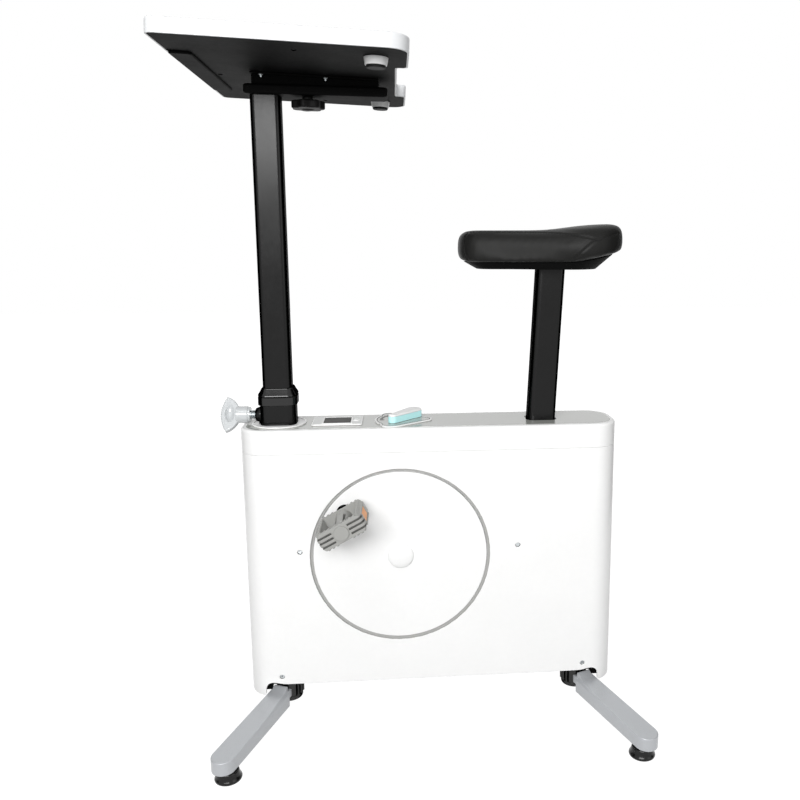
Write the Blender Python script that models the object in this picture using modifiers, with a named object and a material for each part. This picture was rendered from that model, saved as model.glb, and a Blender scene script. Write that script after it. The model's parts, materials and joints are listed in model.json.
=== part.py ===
"""Folding desk bike: slim housing, crank drive, two telescoping posts, sliding desk and four fold-in legs.

Sizes are in millimetres and are turned into metres where a mesh is made. The body frame has its
zero on the floor under the middle of the housing: +X points to the saddle, -Y to the near side.
"""
from math import atan2, cos, hypot, pi, radians, sin, sqrt, tan

import bmesh
import bpy
from mathutils import Matrix, Vector

MM = 0.001

# Clearances
FIT = 0.3
SLIDE = 2.0
RUN = 4.5

# Housing
BODY_LENGTH = 670
BODY_WIDTH = 120
BODY_CORNER = 45
CORNER_STEPS = 5
SHELL_WALL = 3
SHELL_BOTTOM = 70
SKIRT_BOTTOM = 48
SKIRT_LENGTH = 30
SKIRT_START = BODY_LENGTH / 2 - SKIRT_LENGTH
BODY_TOP = 542
COVER_HEIGHT = 43
COVER_SEAM = BODY_TOP - COVER_HEIGHT
COVER_WALL = 4.5
COVER_EDGE = 4
DECK_THICKNESS = 4.5
PANEL_THICKNESS = 1.5
PANEL_MARGIN = 9
SHELL_FRONT_SCREW_INSET = 99
SHELL_FRONT_SCREW_X = -BODY_LENGTH / 2 + SHELL_FRONT_SCREW_INSET
SHELL_REAR_SCREW_INSET = 182.5
SHELL_REAR_SCREW_X = BODY_LENGTH / 2 - SHELL_REAR_SCREW_INSET
SHELL_SCREW_Z = 321
SHELL_FOOT_SCREW_INSET = 59
SHELL_FOOT_SCREW_X = BODY_LENGTH / 2 - SHELL_FOOT_SCREW_INSET
SHELL_FOOT_SCREW_Z = 84.7
SCREW_HOLE = 4.5

# Base frame
BASE_BOTTOM = 70
BASE_HEIGHT = 25
BASE_WALL = 4

# Posts
POST_LENGTH = 50
POST_WIDTH = 40
POST_CORNER = 10
POST_WALL = 2.5
SLEEVE_WALL = 4
SLEEVE_LENGTH = POST_LENGTH + 2 * (SLIDE + SLEEVE_WALL)
SLEEVE_WIDTH = POST_WIDTH + 2 * (SLIDE + SLEEVE_WALL)
SLEEVE_CORNER = POST_CORNER + SLEEVE_WALL
SLEEVE_FOOT = BASE_BOTTOM + BASE_WALL + FIT
TABLE_POST_INSET = 65
TABLE_POST_X = -BODY_LENGTH / 2 + TABLE_POST_INSET
SLEEVE_RISE = 37
SLEEVE_TOP = BODY_TOP + SLEEVE_RISE
COLLAR_HEIGHT = 30
COLLAR_GROW = 3
COLLAR_CHAMFER = 5
TABLE_POST_OVERLAP = 139
TABLE_POST_BOTTOM = SLEEVE_TOP - TABLE_POST_OVERLAP
BUSH_DEPTH = 30
SEAT_LEAN = 0.0503
SEAT_BASE_INSET = 139.2
SEAT_BASE_X = BODY_LENGTH / 2 - SEAT_BASE_INSET
SEAT_BASE_DROP = 97
SEAT_BASE_Z = BODY_TOP - SEAT_BASE_DROP
SEAT_SLEEVE_DROP = 14
SEAT_SLEEVE_TOP = BODY_TOP - SEAT_SLEEVE_DROP
SEAT_POST_DROP = 242
SEAT_POST_BOTTOM = BODY_TOP - SEAT_POST_DROP
SEAT_BUSH_FLANGE = 4

# Clamp knobs
CLAMP_THREAD = 8
CLAMP_HUB = 15
CLAMP_HUB_LENGTH = 26
CLAMP_WING = 32.5
CLAMP_WING_REACH = 31
CLAMP_WING_THICKNESS = 12
CLAMP_BOSS = 14
TABLE_CLAMP_RISE = 17
TABLE_CLAMP_Z = BODY_TOP + TABLE_CLAMP_RISE
TABLE_CLAMP_REACH = 17.3
SEAT_CLAMP_DROP = 27
SEAT_CLAMP_Z = BODY_TOP - SEAT_CLAMP_DROP

# Crank and pedals
CRANK_X = -58.5
CRANK_Z = 309
CRANK_LENGTH = 127
CRANK_ANGLE = radians(139.6)
CRANK_THICKNESS = 9
DISC_RADIUS = 154.5
DISC_THICKNESS = 2.5
DISC_RIM_DEPTH = 8
DISC_RECESS = 1
ROUND_STEPS = 36
LIP_DEPTH = 11.5
LIP_WALL = 2.5
LIP_SHELF = 11
HUB_CAP_RADIUS = 23
HUB_CAP_HEIGHT = 8
AXLE_RADIUS = 10
BEARING_RADIUS = 21
HOUSING_WALL = 5
HOUSING_LENGTH = 52
SPINDLE_RADIUS = 6.5
PEDAL_LENGTH = 96
PEDAL_WIDTH = 84
PEDAL_THICKNESS = 26
PEDAL_WALL = 6.5
PEDAL_RAIL = 10
PEDAL_TILT = radians(28)
PEDAL_GAP = 12

# Belt drive and flywheel
DRIVE_PULLEY_RADIUS = 95
SMALL_PULLEY_RADIUS = 19
PULLEY_WIDTH = 12
PULLEY_HUB_RADIUS = 24
PULLEY_WINDOW_RADIUS = 18
PULLEY_WINDOW_RING = 56
PULLEY_Y = -38
BELT_THICKNESS = 2.5
FLYWHEEL_X = 62
FLYWHEEL_Z = 195
FLYWHEEL_RADIUS = 80
FLYWHEEL_THICKNESS = 18
FLYWHEEL_Y = 31
SHAFT_RADIUS = 6
BRACKET_TUBE = 36
BRACKET_POST_LENGTH = 30
BRACKET_POST_WIDTH = 20
BRACKET_FOOT_LENGTH = 72
BRACKET_FOOT_WIDTH = 60
BRACKET_FOOT_THICKNESS = 5
MAGNET_GAP = 2.5
MAGNET_BAND = 7
MAGNET_PIVOT_X = 18
MAGNET_PIVOT_Z = 306
MAGNET_PIN = 5
BEAM_WIDTH = 30
BEAM_HEIGHT = 40
BEAM_Z = 312
CABLE_END = (118, FLYWHEEL_Y, 300)

# Panel
PANEL_TOP = BODY_TOP + FIT
DISPLAY_REACH = 103
DISPLAY_X = TABLE_POST_X + DISPLAY_REACH
DISPLAY_LENGTH = 88
DISPLAY_WIDTH = 62
WINDOW_LENGTH = 49
WINDOW_WIDTH = 49
BUTTON_REACH = 33
BUTTON_X = DISPLAY_X + BUTTON_REACH
BUTTON_RADIUS = 4.5
DIAL_REACH = 75
DIAL_X = DISPLAY_X + DISPLAY_LENGTH / 2 + DIAL_REACH
DIAL_STEM = 8
DIAL_STEM_DEPTH = 22
LEVER_TURN = radians(55)

# Desk
DESK_LENGTH = 355
DESK_WIDTH = 534
DESK_TOP_THICKNESS = 13.7
DESK_TRAY_THICKNESS = 8
DESK_CORNER = 32
DESK_EDGE_REACH = 234.5
DESK_EDGE_X = TABLE_POST_X + DESK_EDGE_REACH
DESK_EDGE_Z = 1123.4
DESK_TILT = 0.0449
NOTCH_LENGTH = 260
NOTCH_DEPTH = 17
SLOT_X = -334
SLOT_LENGTH = 300
SLOT_WIDTH = 15
BULGE_LENGTH = 320
BULGE_WIDTH = 34
BULGE_DEPTH = 4
BUMPER_X = -44.5
BUMPER_Y = 200
BUMPER_RADIUS = 18
BUMPER_HEIGHT = 15
RAIL_SLOPE = 0.0172
RAIL_KNOB_REACH = 69
RAIL_KNOB_X = TABLE_POST_X + RAIL_KNOB_REACH
RAIL_DROP = 23.15
RAIL_Z = DESK_EDGE_Z - RAIL_DROP
RAIL_FRONT = -102
RAIL_REAR = 131
RAIL_WIDTH = 56
RAIL_HEIGHT = 16
BRACKET_FRONT = -89
BRACKET_REAR = 118
BRACKET_WIDTH = 44
BRACKET_WALL = 3
DESK_TRAVEL = 100
STAR_RADIUS = 28.5
STAR_HEIGHT = 13

# Saddle
PAN_RISE = 272.3
PAN_BOTTOM = BODY_TOP + PAN_RISE
PAN_HEIGHT = 11.7
PAN_NOSE_REACH = 134.8
PAN_NOSE_X = SEAT_BASE_X - PAN_NOSE_REACH
PAN_REAR_REACH = 124.2
PAN_REAR_X = SEAT_BASE_X + PAN_REAR_REACH
PAN_NOSE_HALF = 44
PAN_REAR_HALF = 88
PAN_NOSE_DRAFT = 22
PAN_REAR_DRAFT = 29
PAN_SIDE_DRAFT = 0.86
CUSHION_NOSE_OVERHANG = 12.2
CUSHION_NOSE_X = PAN_NOSE_X - CUSHION_NOSE_OVERHANG
CUSHION_REAR_OVERHANG = 16
CUSHION_REAR_X = PAN_REAR_X + CUSHION_REAR_OVERHANG
CUSHION_NOSE_HALF = 58
CUSHION_REAR_HALF = 106
CUSHION_RISE = 64.7
CUSHION_TOP = PAN_BOTTOM + CUSHION_RISE
CUSHION_HUMP = 10.5
CUSHION_TAIL_LIFT = 14
SEAT_PLATE_LENGTH = 90
SEAT_PLATE_WIDTH = 60
SEAT_PLATE_THICKNESS = 4

# Legs
LEG_INSET = 67
LEG_X = BODY_LENGTH / 2 - LEG_INSET
LEG_Y = 24
LEG_REACH = 208
LEG_SPLAY = radians(21.7)
LEG_ROOT = 28
LEG_ROOT_OUTER = 19
LEG_ROOT_INNER = 17
LEG_SHOULDER = 5
LEG_ROOT_TOP = 56
LEG_ROOT_BOTTOM = 27
LEG_TIP_REACH = LEG_REACH + 2.6
LEG_TIP_OFFSET = 5.4
LEG_TIP_RADIUS = 20.3
LEG_TIP_TOP = 40.5
LEG_TIP_BOTTOM = 17.3
LEG_FACET_WIDTH = 8
LEG_FACET_LENGTH = 122
HUB_TOP = 66
NECK_HALF_WIDTH = 14
GEAR_TEETH = 16
GEAR_TEETH_CUT = 8
GEAR_ADDENDUM = 2.2
GEAR_DEDENDUM = 3.3
GEAR_PRESSURE = radians(25)
GEAR_BACKLASH = radians(0.5)
PIN_RADIUS = 8
PIN_CAP_RADIUS = 23.6
PIN_CAP_HEIGHT = 9
PIN_CAP_TOP = 37
FOOT_RADIUS = 22.25
FOOT_STEM = 5

# The front edge of the desk and the rear feet set the middle of the whole bike
DESK_FRONT_X = DESK_EDGE_X - DESK_LENGTH * cos(DESK_TILT)
FOOT_REAR_X = LEG_X + LEG_REACH * sin(LEG_SPLAY) + FOOT_RADIUS
BODY_X = -(DESK_FRONT_X + FOOT_REAR_X) / 2


def move(x=0, y=0, z=0):
    """A shift in millimetres."""
    return Matrix.Translation((x * MM, y * MM, z * MM))


HOME = move(BODY_X)
SEAT = HOME @ move(SEAT_BASE_X, 0, SEAT_BASE_Z) @ Matrix.Rotation(SEAT_LEAN, 4, "Y")
RAIL = HOME @ move(RAIL_KNOB_X, 0, RAIL_Z) @ Matrix.Rotation(RAIL_SLOPE, 4, "Y")
DESK = HOME @ move(DESK_EDGE_X, 0, DESK_EDGE_Z) @ Matrix.Rotation(DESK_TILT, 4, "Y")
UPRIGHT = Matrix.Rotation(pi / 2, 4, "X")

FINISHES = {
    "white": ((0.86, 0.87, 0.88), 0.28, 0.0),
    "panel_grey": ((0.55, 0.56, 0.57), 0.12, 0.0),
    "black_paint": ((0.012, 0.012, 0.013), 0.18, 0.0),
    "black_plastic": ((0.02, 0.02, 0.021), 0.5, 0.0),
    "silver_paint": ((0.46, 0.48, 0.5), 0.35, 0.6),
    "light_grey": ((0.6, 0.63, 0.66), 0.35, 0.0),
    "pedal_grey": ((0.33, 0.33, 0.32), 0.5, 0.0),
    "turquoise": ((0.02, 0.5, 0.66), 0.35, 0.0),
    "zinc": ((0.6, 0.64, 0.66), 0.3, 1.0),
    "steel": ((0.45, 0.45, 0.46), 0.35, 1.0),
    "cast_iron": ((0.08, 0.08, 0.085), 0.5, 1.0),
    "rubber": ((0.015, 0.015, 0.015), 0.75, 0.0),
    "vinyl": ((0.02, 0.02, 0.02), 0.45, 0.0),
    "lens": ((0.02, 0.025, 0.03), 0.08, 0.0),
}


def clear_scene():
    """Remove whatever the scene holds and make the two collections."""
    for thing in list(bpy.data.objects):
        bpy.data.objects.remove(thing)
    for name in ("folding_desk_bike", "cutters"):
        group = bpy.data.collections.new(name)
        bpy.context.scene.collection.children.link(group)


def finish_of(name):
    """The material of a finish, made once."""
    material = bpy.data.materials.get(name)
    if material is None:
        colour, roughness, metallic = FINISHES[name]
        material = bpy.data.materials.new(name)
        material.use_nodes = True
        shader = material.node_tree.nodes["Principled BSDF"]
        shader.inputs["Base Color"].default_value = (*colour, 1)
        shader.inputs["Roughness"].default_value = roughness
        shader.inputs["Metallic"].default_value = metallic
    return material


def from_bmesh(name, shape, frame):
    """An object in the bike's collection from a bmesh."""
    mesh = bpy.data.meshes.new(name)
    shape.normal_update()
    bmesh.ops.recalc_face_normals(shape, faces=shape.faces)
    shape.to_mesh(mesh)
    shape.free()
    return placed(name, mesh, frame)


def placed(name, mesh, frame):
    """Put a mesh into the bike's collection at a frame."""
    thing = bpy.data.objects.new(name, mesh)
    thing.matrix_world = frame
    bpy.data.collections["folding_desk_bike"].objects.link(thing)
    return thing


def block(name, low, high, frame=HOME):
    """A box between two corners."""
    shape = bmesh.new()
    bmesh.ops.create_cube(shape, size=1)
    for vert in shape.verts:
        for axis in range(3):
            middle = (low[axis] + high[axis]) / 2
            vert.co[axis] = (middle + vert.co[axis] * (high[axis] - low[axis])) * MM
    return from_bmesh(name, shape, frame)


def rod(name, radius, start, end, frame=HOME, sides=16):
    """A round bar between two points."""
    start, end = Vector(start), Vector(end)
    along = end - start
    shape = bmesh.new()
    bmesh.ops.create_cone(shape, cap_ends=True, segments=sides, radius1=radius * MM,
                          radius2=radius * MM, depth=along.length * MM)
    turn = along.to_track_quat("Z", "Y").to_matrix().to_4x4()
    shape.transform(Matrix.Translation((start + end) / 2 * MM) @ turn)
    return from_bmesh(name, shape, frame)


def turned(name, profile, frame, ring=False, steps=16):
    """A turned piece from (radius, height) points that run down its outer side."""
    shape = bmesh.new()
    verts = [shape.verts.new((radius * MM, 0, height * MM)) for radius, height in profile]
    for first, second in zip(verts, verts[1:]):
        shape.edges.new((first, second))
    if ring:
        shape.edges.new((verts[-1], verts[0]))
    mesh = bpy.data.meshes.new(name)
    shape.to_mesh(mesh)
    shape.free()
    thing = placed(name, mesh, frame)
    screw = thing.modifiers.new("Turn", "SCREW")
    screw.steps = steps
    screw.render_steps = steps
    screw.use_merge_vertices = True
    screw.merge_threshold = 0.000001
    screw.use_smooth_shade = True
    return thing


def plate(name, outlines, low, high, frame=HOME):
    """Flat outlines, the later ones as holes, drawn out from low to high."""
    curve = bpy.data.curves.new(name, "CURVE")
    curve.dimensions = "2D"
    curve.fill_mode = "BOTH"
    curve.extrude = (high - low) / 2 * MM
    for outline in outlines:
        spline = curve.splines.new("POLY")
        spline.points.add(len(outline) - 1)
        for point, (x, y) in zip(spline.points, outline):
            point.co = (x * MM, y * MM, 0, 1)
        spline.use_cyclic_u = True
    drawn = bpy.data.objects.new(name + "_outline", curve)
    drawn.matrix_world = frame
    bpy.data.collections["cutters"].objects.link(drawn)
    evaluated = drawn.evaluated_get(bpy.context.evaluated_depsgraph_get())
    mesh = bpy.data.meshes.new_from_object(evaluated)
    bpy.data.objects.remove(drawn)
    shape = bmesh.new()
    shape.from_mesh(mesh)
    bmesh.ops.remove_doubles(shape, verts=shape.verts, dist=0.00001)
    bmesh.ops.dissolve_limit(shape, angle_limit=radians(0.5), verts=shape.verts, edges=shape.edges)
    shape.transform(move(z=(low + high) / 2))
    return from_bmesh(name, shape, frame)


def upright_plate(name, outlines, low, high, frame=HOME):
    """An outline in X and Z, drawn out along Y from low to high."""
    return plate(name, outlines, -high, -low, frame @ UPRIGHT)


def hull(name, points, frame=HOME):
    """The smallest convex solid around some points."""
    shape = bmesh.new()
    for point in points:
        shape.verts.new(Vector(point) * MM)
    bmesh.ops.convex_hull(shape, input=shape.verts)
    return from_bmesh(name, shape, frame)


def reshape(thing, rule):
    """Move each vertex of a mesh by a rule in millimetres."""
    for vert in thing.data.vertices:
        vert.co = Vector(rule(*(vert.co / MM))) * MM
    return thing


def combine(thing, operation, tools):
    """Add Boolean modifiers and put their tools among the cutters."""
    for tool in tools:
        modifier = thing.modifiers.new(operation.title(), "BOOLEAN")
        modifier.operation = operation
        modifier.object = tool
        for group in list(tool.users_collection):
            group.objects.unlink(tool)
        bpy.data.collections["cutters"].objects.link(tool)
        tool.hide_render = True
        tool.display_type = "WIRE"
    return thing


def cut(thing, *tools):
    """Take the tools out of a piece."""
    return combine(thing, "DIFFERENCE", tools)


def join(thing, *others):
    """Weld the others to a piece."""
    return combine(thing, "UNION", others)


def soften(thing, width, segments=1, angle=40):
    """Round or chamfer the sharp edges of a piece."""
    bevel = thing.modifiers.new("Edges", "BEVEL")
    bevel.width = width * MM
    bevel.segments = segments
    bevel.limit_method = "ANGLE"
    bevel.angle_limit = radians(angle)
    bevel.use_clamp_overlap = True
    return thing


def coat(finish, *things):
    """Give pieces their finish and smooth shading with sharp edges kept."""
    for thing in things:
        thing.data.materials.append(finish_of(finish))
        if thing.data.polygons:
            thing.data.shade_smooth()
            thing.data.set_sharp_from_angle(angle=radians(35))


def hinge_point(name, frame, *things):
    """An empty on a joint's axis that carries the moving pieces."""
    empty = bpy.data.objects.new(name, None)
    empty.matrix_world = frame
    bpy.data.collections["folding_desk_bike"].objects.link(empty)
    for thing in things:
        world = thing.matrix_world.copy()
        thing.parent = empty
        thing.matrix_parent_inverse = frame.inverted()
        thing.matrix_basis = world
    return empty


def rounded(length, width, corner, centre=(0, 0), steps=2):
    """A rectangle with round corners as a closed outline."""
    points = []
    for quarter in range(4):
        x_sign = 1 if quarter in (0, 3) else -1
        y_sign = 1 if quarter in (0, 1) else -1
        for step in range(steps + 1):
            angle = (quarter + step / steps) * pi / 2
            points.append((centre[0] + x_sign * (length / 2 - corner) + corner * cos(angle),
                           centre[1] + y_sign * (width / 2 - corner) + corner * sin(angle)))
    return points


def circle(radius, centre=(0, 0), sides=32):
    """A circle as a closed outline."""
    angles = [2 * pi * step / sides for step in range(sides)]
    return [(centre[0] + radius * cos(angle), centre[1] + radius * sin(angle)) for angle in angles]


def arc(centre, radius, start, end, steps):
    """Points along an arc from one angle to another."""
    points = []
    for step in range(steps + 1):
        angle = start + (end - start) * step / steps
        points.append((centre[0] + radius * cos(angle), centre[1] + radius * sin(angle)))
    return points


def belt_round(first, first_radius, second, second_radius, steps=9):
    """The closed path of a belt around two wheels."""
    gap = hypot(second[0] - first[0], second[1] - first[1])
    heading = atan2(second[1] - first[1], second[0] - first[0])
    change = first_radius - second_radius
    touch = pi / 2 - atan2(change, sqrt(gap ** 2 - change ** 2))
    large_step = (pi - touch) / steps
    small_step = 2 * touch / steps
    large_radius = first_radius / cos(large_step / 2)
    small_radius = second_radius / cos(small_step / 2)
    large = arc(first, large_radius, heading + touch, heading + 2 * pi - touch, 2 * steps)
    small = arc(second, small_radius, heading - touch, heading + touch, steps)
    return large + small


def seat_height(world_z):
    """The rule that cuts a leaning tube level at a height in the body frame."""
    def height(x):
        return (world_z - SEAT_BASE_Z + x * sin(SEAT_LEAN)) / cos(SEAT_LEAN)
    return height


def tube(name, length, width, corner, wall, bottom, top, frame):
    """A rounded rectangular tube whose ends follow height rules of X."""
    outer = rounded(length, width, corner)
    inner = rounded(length - 2 * wall, width - 2 * wall, max(corner - wall, 1))
    thing = plate(name, [outer, inner], 0, 1, frame)
    return reshape(thing, lambda x, y, z: (x, y, top(x) if z > 0.5 else bottom(x)))


def level(height):
    """A height rule for a square cut."""
    return lambda x: height


def base_frame():
    """Steel tray that carries the sleeves and the leg pins."""
    clear = SHELL_WALL + FIT
    length = BODY_LENGTH - 2 * clear
    width = BODY_WIDTH - 2 * clear
    corner = BODY_CORNER - clear
    tray = plate("base_frame", [rounded(length, width, corner, steps=CORNER_STEPS)],
                 BASE_BOTTOM, BASE_BOTTOM + BASE_HEIGHT)
    inner = rounded(length - 2 * BASE_WALL, width - 2 * BASE_WALL, corner - BASE_WALL)
    cut(tray, plate("base_hollow", [inner], BASE_BOTTOM + BASE_WALL, BASE_BOTTOM + BASE_HEIGHT + 1))
    for x_side in (-1, 1):
        for y_side in (-1, 1):
            x, y = x_side * LEG_X, y_side * LEG_Y
            hole = rod("base_pin_hole", PIN_RADIUS + FIT, (x, y, BASE_BOTTOM - 1),
                       (x, y, BASE_BOTTOM + BASE_WALL + 1), sides=16)
            cut(tray, hole)
    coat("black_paint", tray)
    return tray


def sleeves():
    """The two outer tubes that stand on the tray."""
    frame = HOME @ move(TABLE_POST_X)
    front = tube("table_post_sleeve", SLEEVE_LENGTH, SLEEVE_WIDTH, SLEEVE_CORNER, SLEEVE_WALL,
                 level(SLEEVE_FOOT), level(SLEEVE_TOP - FIT), frame)
    face = -SLEEVE_LENGTH / 2
    join(front, rod("table_clamp_boss", CLAMP_BOSS, (face - 6, 0, TABLE_CLAMP_Z),
                    (face + 2, 0, TABLE_CLAMP_Z), frame, 24))
    cut(front, rod("table_clamp_hole", CLAMP_THREAD + FIT, (face - 8, 0, TABLE_CLAMP_Z),
                   (face + SLEEVE_WALL + 3, 0, TABLE_CLAMP_Z), frame, 24))

    rear = tube("seat_post_sleeve", SLEEVE_LENGTH, SLEEVE_WIDTH, SLEEVE_CORNER, SLEEVE_WALL,
                seat_height(SLEEVE_FOOT), level(SEAT_SLEEVE_TOP - SEAT_BASE_Z), SEAT)
    side = SLEEVE_WIDTH / 2
    height = SEAT_CLAMP_Z - SEAT_BASE_Z
    join(rear, rod("seat_clamp_boss", CLAMP_BOSS - 2, (0, side - 2, height), (0, side + 6, height), SEAT))
    cut(rear, rod("seat_clamp_hole", CLAMP_THREAD + FIT, (0, side - SLEEVE_WALL - 3, height),
                  (0, side + 8, height), SEAT, 24))
    coat("black_paint", front, rear)
    return front, rear


def bush(name, frame, seat, flange, grow, finish, chamfer):
    """A guide that sits on a sleeve and fits the post with a thin gap."""
    bore_length = POST_LENGTH + 2 * FIT
    bore_width = POST_WIDTH + 2 * FIT
    bore = rounded(bore_length, bore_width, POST_CORNER)
    outer = rounded(SLEEVE_LENGTH + 2 * grow, SLEEVE_WIDTH + 2 * grow, SLEEVE_CORNER + grow)
    ring = plate(name, [outer], seat + FIT, seat + FIT + flange, frame)
    if chamfer:
        soften(ring, chamfer, 1, 60)
    plug_length = POST_LENGTH + 2 * (SLIDE - FIT)
    plug_width = POST_WIDTH + 2 * (SLIDE - FIT)
    join(ring, plate(name + "_plug", [rounded(plug_length, plug_width, POST_CORNER + 1)],
                     seat - BUSH_DEPTH, seat + FIT + 1, frame))
    cut(ring, plate(name + "_bore", [bore], seat - BUSH_DEPTH - 2, seat + flange + 2, frame))
    coat(finish, ring)
    return ring


def guides():
    """The collar on the front sleeve and the bush in the rear one."""
    frame = HOME @ move(TABLE_POST_X)
    collar = bush("post_collar", frame, SLEEVE_TOP - FIT, COLLAR_HEIGHT, COLLAR_GROW, "black_plastic",
                  COLLAR_CHAMFER)
    inner = bush("seat_post_bush", SEAT, SEAT_SLEEVE_TOP - SEAT_BASE_Z, SEAT_BUSH_FLANGE, 0,
                 "black_plastic", 0)
    clamp_z = SEAT_CLAMP_Z - SEAT_BASE_Z
    cut(inner, rod("bush_clamp_hole", CLAMP_THREAD + 1, (0, POST_WIDTH / 2 - 3, clamp_z),
                   (0, SLEEVE_WIDTH / 2, clamp_z), SEAT, 24))
    cut(collar, rod("collar_clamp_hole", CLAMP_THREAD + 1, (-SLEEVE_LENGTH / 2, 0, TABLE_CLAMP_Z),
                    (-POST_LENGTH / 2 + 3, 0, TABLE_CLAMP_Z), frame, 24))
    return collar, inner


def clamp_knob(name, frame, reach):
    """A threaded clamp with a ribbed wing; its axis is the frame's X, tip first."""
    outline = []
    for step in range(19):
        angle = pi / 2 + pi * step / 18
        ripple = 0.8 if 3 < step < 15 and step % 2 else 0
        outline.append(((CLAMP_WING_REACH + ripple) * cos(angle), (CLAMP_WING + ripple) * sin(angle)))
    hub_back = reach - CLAMP_HUB_LENGTH
    wing = upright_plate(name, [[(hub_back + x, z) for x, z in outline]],
                         -CLAMP_WING_THICKNESS / 2, CLAMP_WING_THICKNESS / 2, frame)
    soften(wing, 1.5, 1, 60)
    join(wing, rod(name + "_hub", CLAMP_HUB, (hub_back - 3, 0, 0), (reach, 0, 0), frame, 18))
    join(wing, rod(name + "_bolt", CLAMP_THREAD, (reach - 4, 0, 0), (0, 0, 0), frame, 12))
    coat("light_grey", wing)
    return wing


def clamp_knobs():
    """The knob on the front sleeve and the one on the far side of the saddle post."""
    tip = -POST_LENGTH / 2 - FIT
    front_frame = HOME @ move(TABLE_POST_X + tip, 0, TABLE_CLAMP_Z)
    front = clamp_knob("post_knob", front_frame, -TABLE_CLAMP_REACH)
    lean = SEAT @ move(0, POST_WIDTH / 2 + FIT, SEAT_CLAMP_Z - SEAT_BASE_Z)
    rear_frame = lean @ Matrix.Rotation(-pi / 2, 4, "Z") @ Matrix.Rotation(pi / 2, 4, "X")
    rear = clamp_knob("seat_knob", rear_frame, -(BODY_WIDTH - POST_WIDTH) / 2 - 4)
    hinge_point("post_knob_axis", front_frame, front)
    hinge_point("seat_knob_axis", rear_frame, rear)
    return front, rear


def posts():
    """The two inner tubes with wider guide feet at their lower ends."""
    frame = HOME @ move(TABLE_POST_X)

    def under_rail(x):
        return RAIL_Z - FIT - (x + TABLE_POST_X - RAIL_KNOB_X) * tan(RAIL_SLOPE)

    front = tube("table_post", POST_LENGTH, POST_WIDTH, POST_CORNER, POST_WALL,
                 level(TABLE_POST_BOTTOM), under_rail, frame)
    glide_length = POST_LENGTH + 2 * (SLIDE - FIT)
    glide_width = POST_WIDTH + 2 * (SLIDE - FIT)
    join(front, tube("table_post_glide", glide_length, glide_width, POST_CORNER + 1, SLIDE,
                     level(TABLE_POST_BOTTOM + 1), level(TABLE_POST_BOTTOM + 21), frame))

    rear = tube("seat_post", POST_LENGTH, POST_WIDTH, POST_CORNER, POST_WALL,
                level(SEAT_POST_BOTTOM - SEAT_BASE_Z), seat_height(PAN_BOTTOM + 2), SEAT)
    foot = SEAT_POST_BOTTOM - SEAT_BASE_Z
    join(rear, tube("seat_post_glide", glide_length, glide_width, POST_CORNER + 1, SLIDE,
                    level(foot + 1), level(foot + 21), SEAT))
    x = seat_plate_x()
    join(rear, plate("seat_post_plate",
                     [rounded(SEAT_PLATE_LENGTH, SEAT_PLATE_WIDTH, 8, (x, 0), 3)],
                     PAN_BOTTOM, PAN_BOTTOM + SEAT_PLATE_THICKNESS))
    coat("black_paint", front, rear)
    hinge_point("table_post_slide", frame @ move(z=SLEEVE_TOP), front)
    hinge_point("seat_post_slide", SEAT, rear)
    return front, rear


def seat_plate_x():
    """Where the leaning post meets the pan, in the body frame."""
    return SEAT_BASE_X + (PAN_BOTTOM - SEAT_BASE_Z) * tan(SEAT_LEAN)


def crank_housing():
    """Cross beam with the crank's bearing tube, the shell tabs and the magnet's pin."""
    half_width = BEAM_WIDTH / 2
    low, high = BEAM_Z - BEAM_HEIGHT / 2, BEAM_Z + BEAM_HEIGHT / 2
    front = TABLE_POST_X + SLEEVE_LENGTH / 2 + FIT
    beam = block("crank_housing", (front, -half_width, low), (0, half_width, high))

    def rear_end(x, y, z):
        if x < -1:
            return x, y, z
        edge = SEAT_BASE_X + (z - SEAT_BASE_Z) * tan(SEAT_LEAN)
        return edge - SLEEVE_LENGTH / 2 / cos(SEAT_LEAN) - FIT, y, z

    reshape(beam, rear_end)
    half = HOUSING_LENGTH / 2
    radius = BEARING_RADIUS + FIT + HOUSING_WALL
    join(beam, rod("bearing_tube", radius, (CRANK_X, -half, CRANK_Z), (CRANK_X, half, CRANK_Z)))
    reach = BODY_WIDTH / 2 - SHELL_WALL - 2 * FIT
    for x, z in ((SHELL_FRONT_SCREW_X, SHELL_SCREW_Z), (SHELL_REAR_SCREW_X, SHELL_SCREW_Z)):
        join(beam, block("shell_tab", (x - 2.5, -reach, z - 15), (x + 2.5, reach, z + 9.5)))
        for side in (-1, 1):
            low_y, high_y = sorted((side * reach, side * (reach - 3)))
            join(beam, block("shell_tab_face", (x - 2, low_y, z - 14), (x + 12, high_y, z + 9)))
    join(beam, rod("magnet_pin", MAGNET_PIN, (MAGNET_PIVOT_X, half_width - 3, MAGNET_PIVOT_Z),
                   (MAGNET_PIVOT_X, FLYWHEEL_Y + 15, MAGNET_PIVOT_Z), sides=20))
    join(beam, block("cable_stop", (CABLE_END[0] - 7, half_width - 3, CABLE_END[2] - 4),
                     (CABLE_END[0] + 7, CABLE_END[1] + 8, CABLE_END[2])))
    cut(beam, rod("bearing_bore", BEARING_RADIUS + FIT, (CRANK_X, -half - 2, CRANK_Z),
                  (CRANK_X, half + 2, CRANK_Z)))
    coat("black_paint", beam)
    return beam


def along_y(x, y, z):
    """A frame whose Z runs along +Y from a point."""
    return HOME @ move(x, y, z) @ Matrix.Rotation(-pi / 2, 4, "X")


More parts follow.
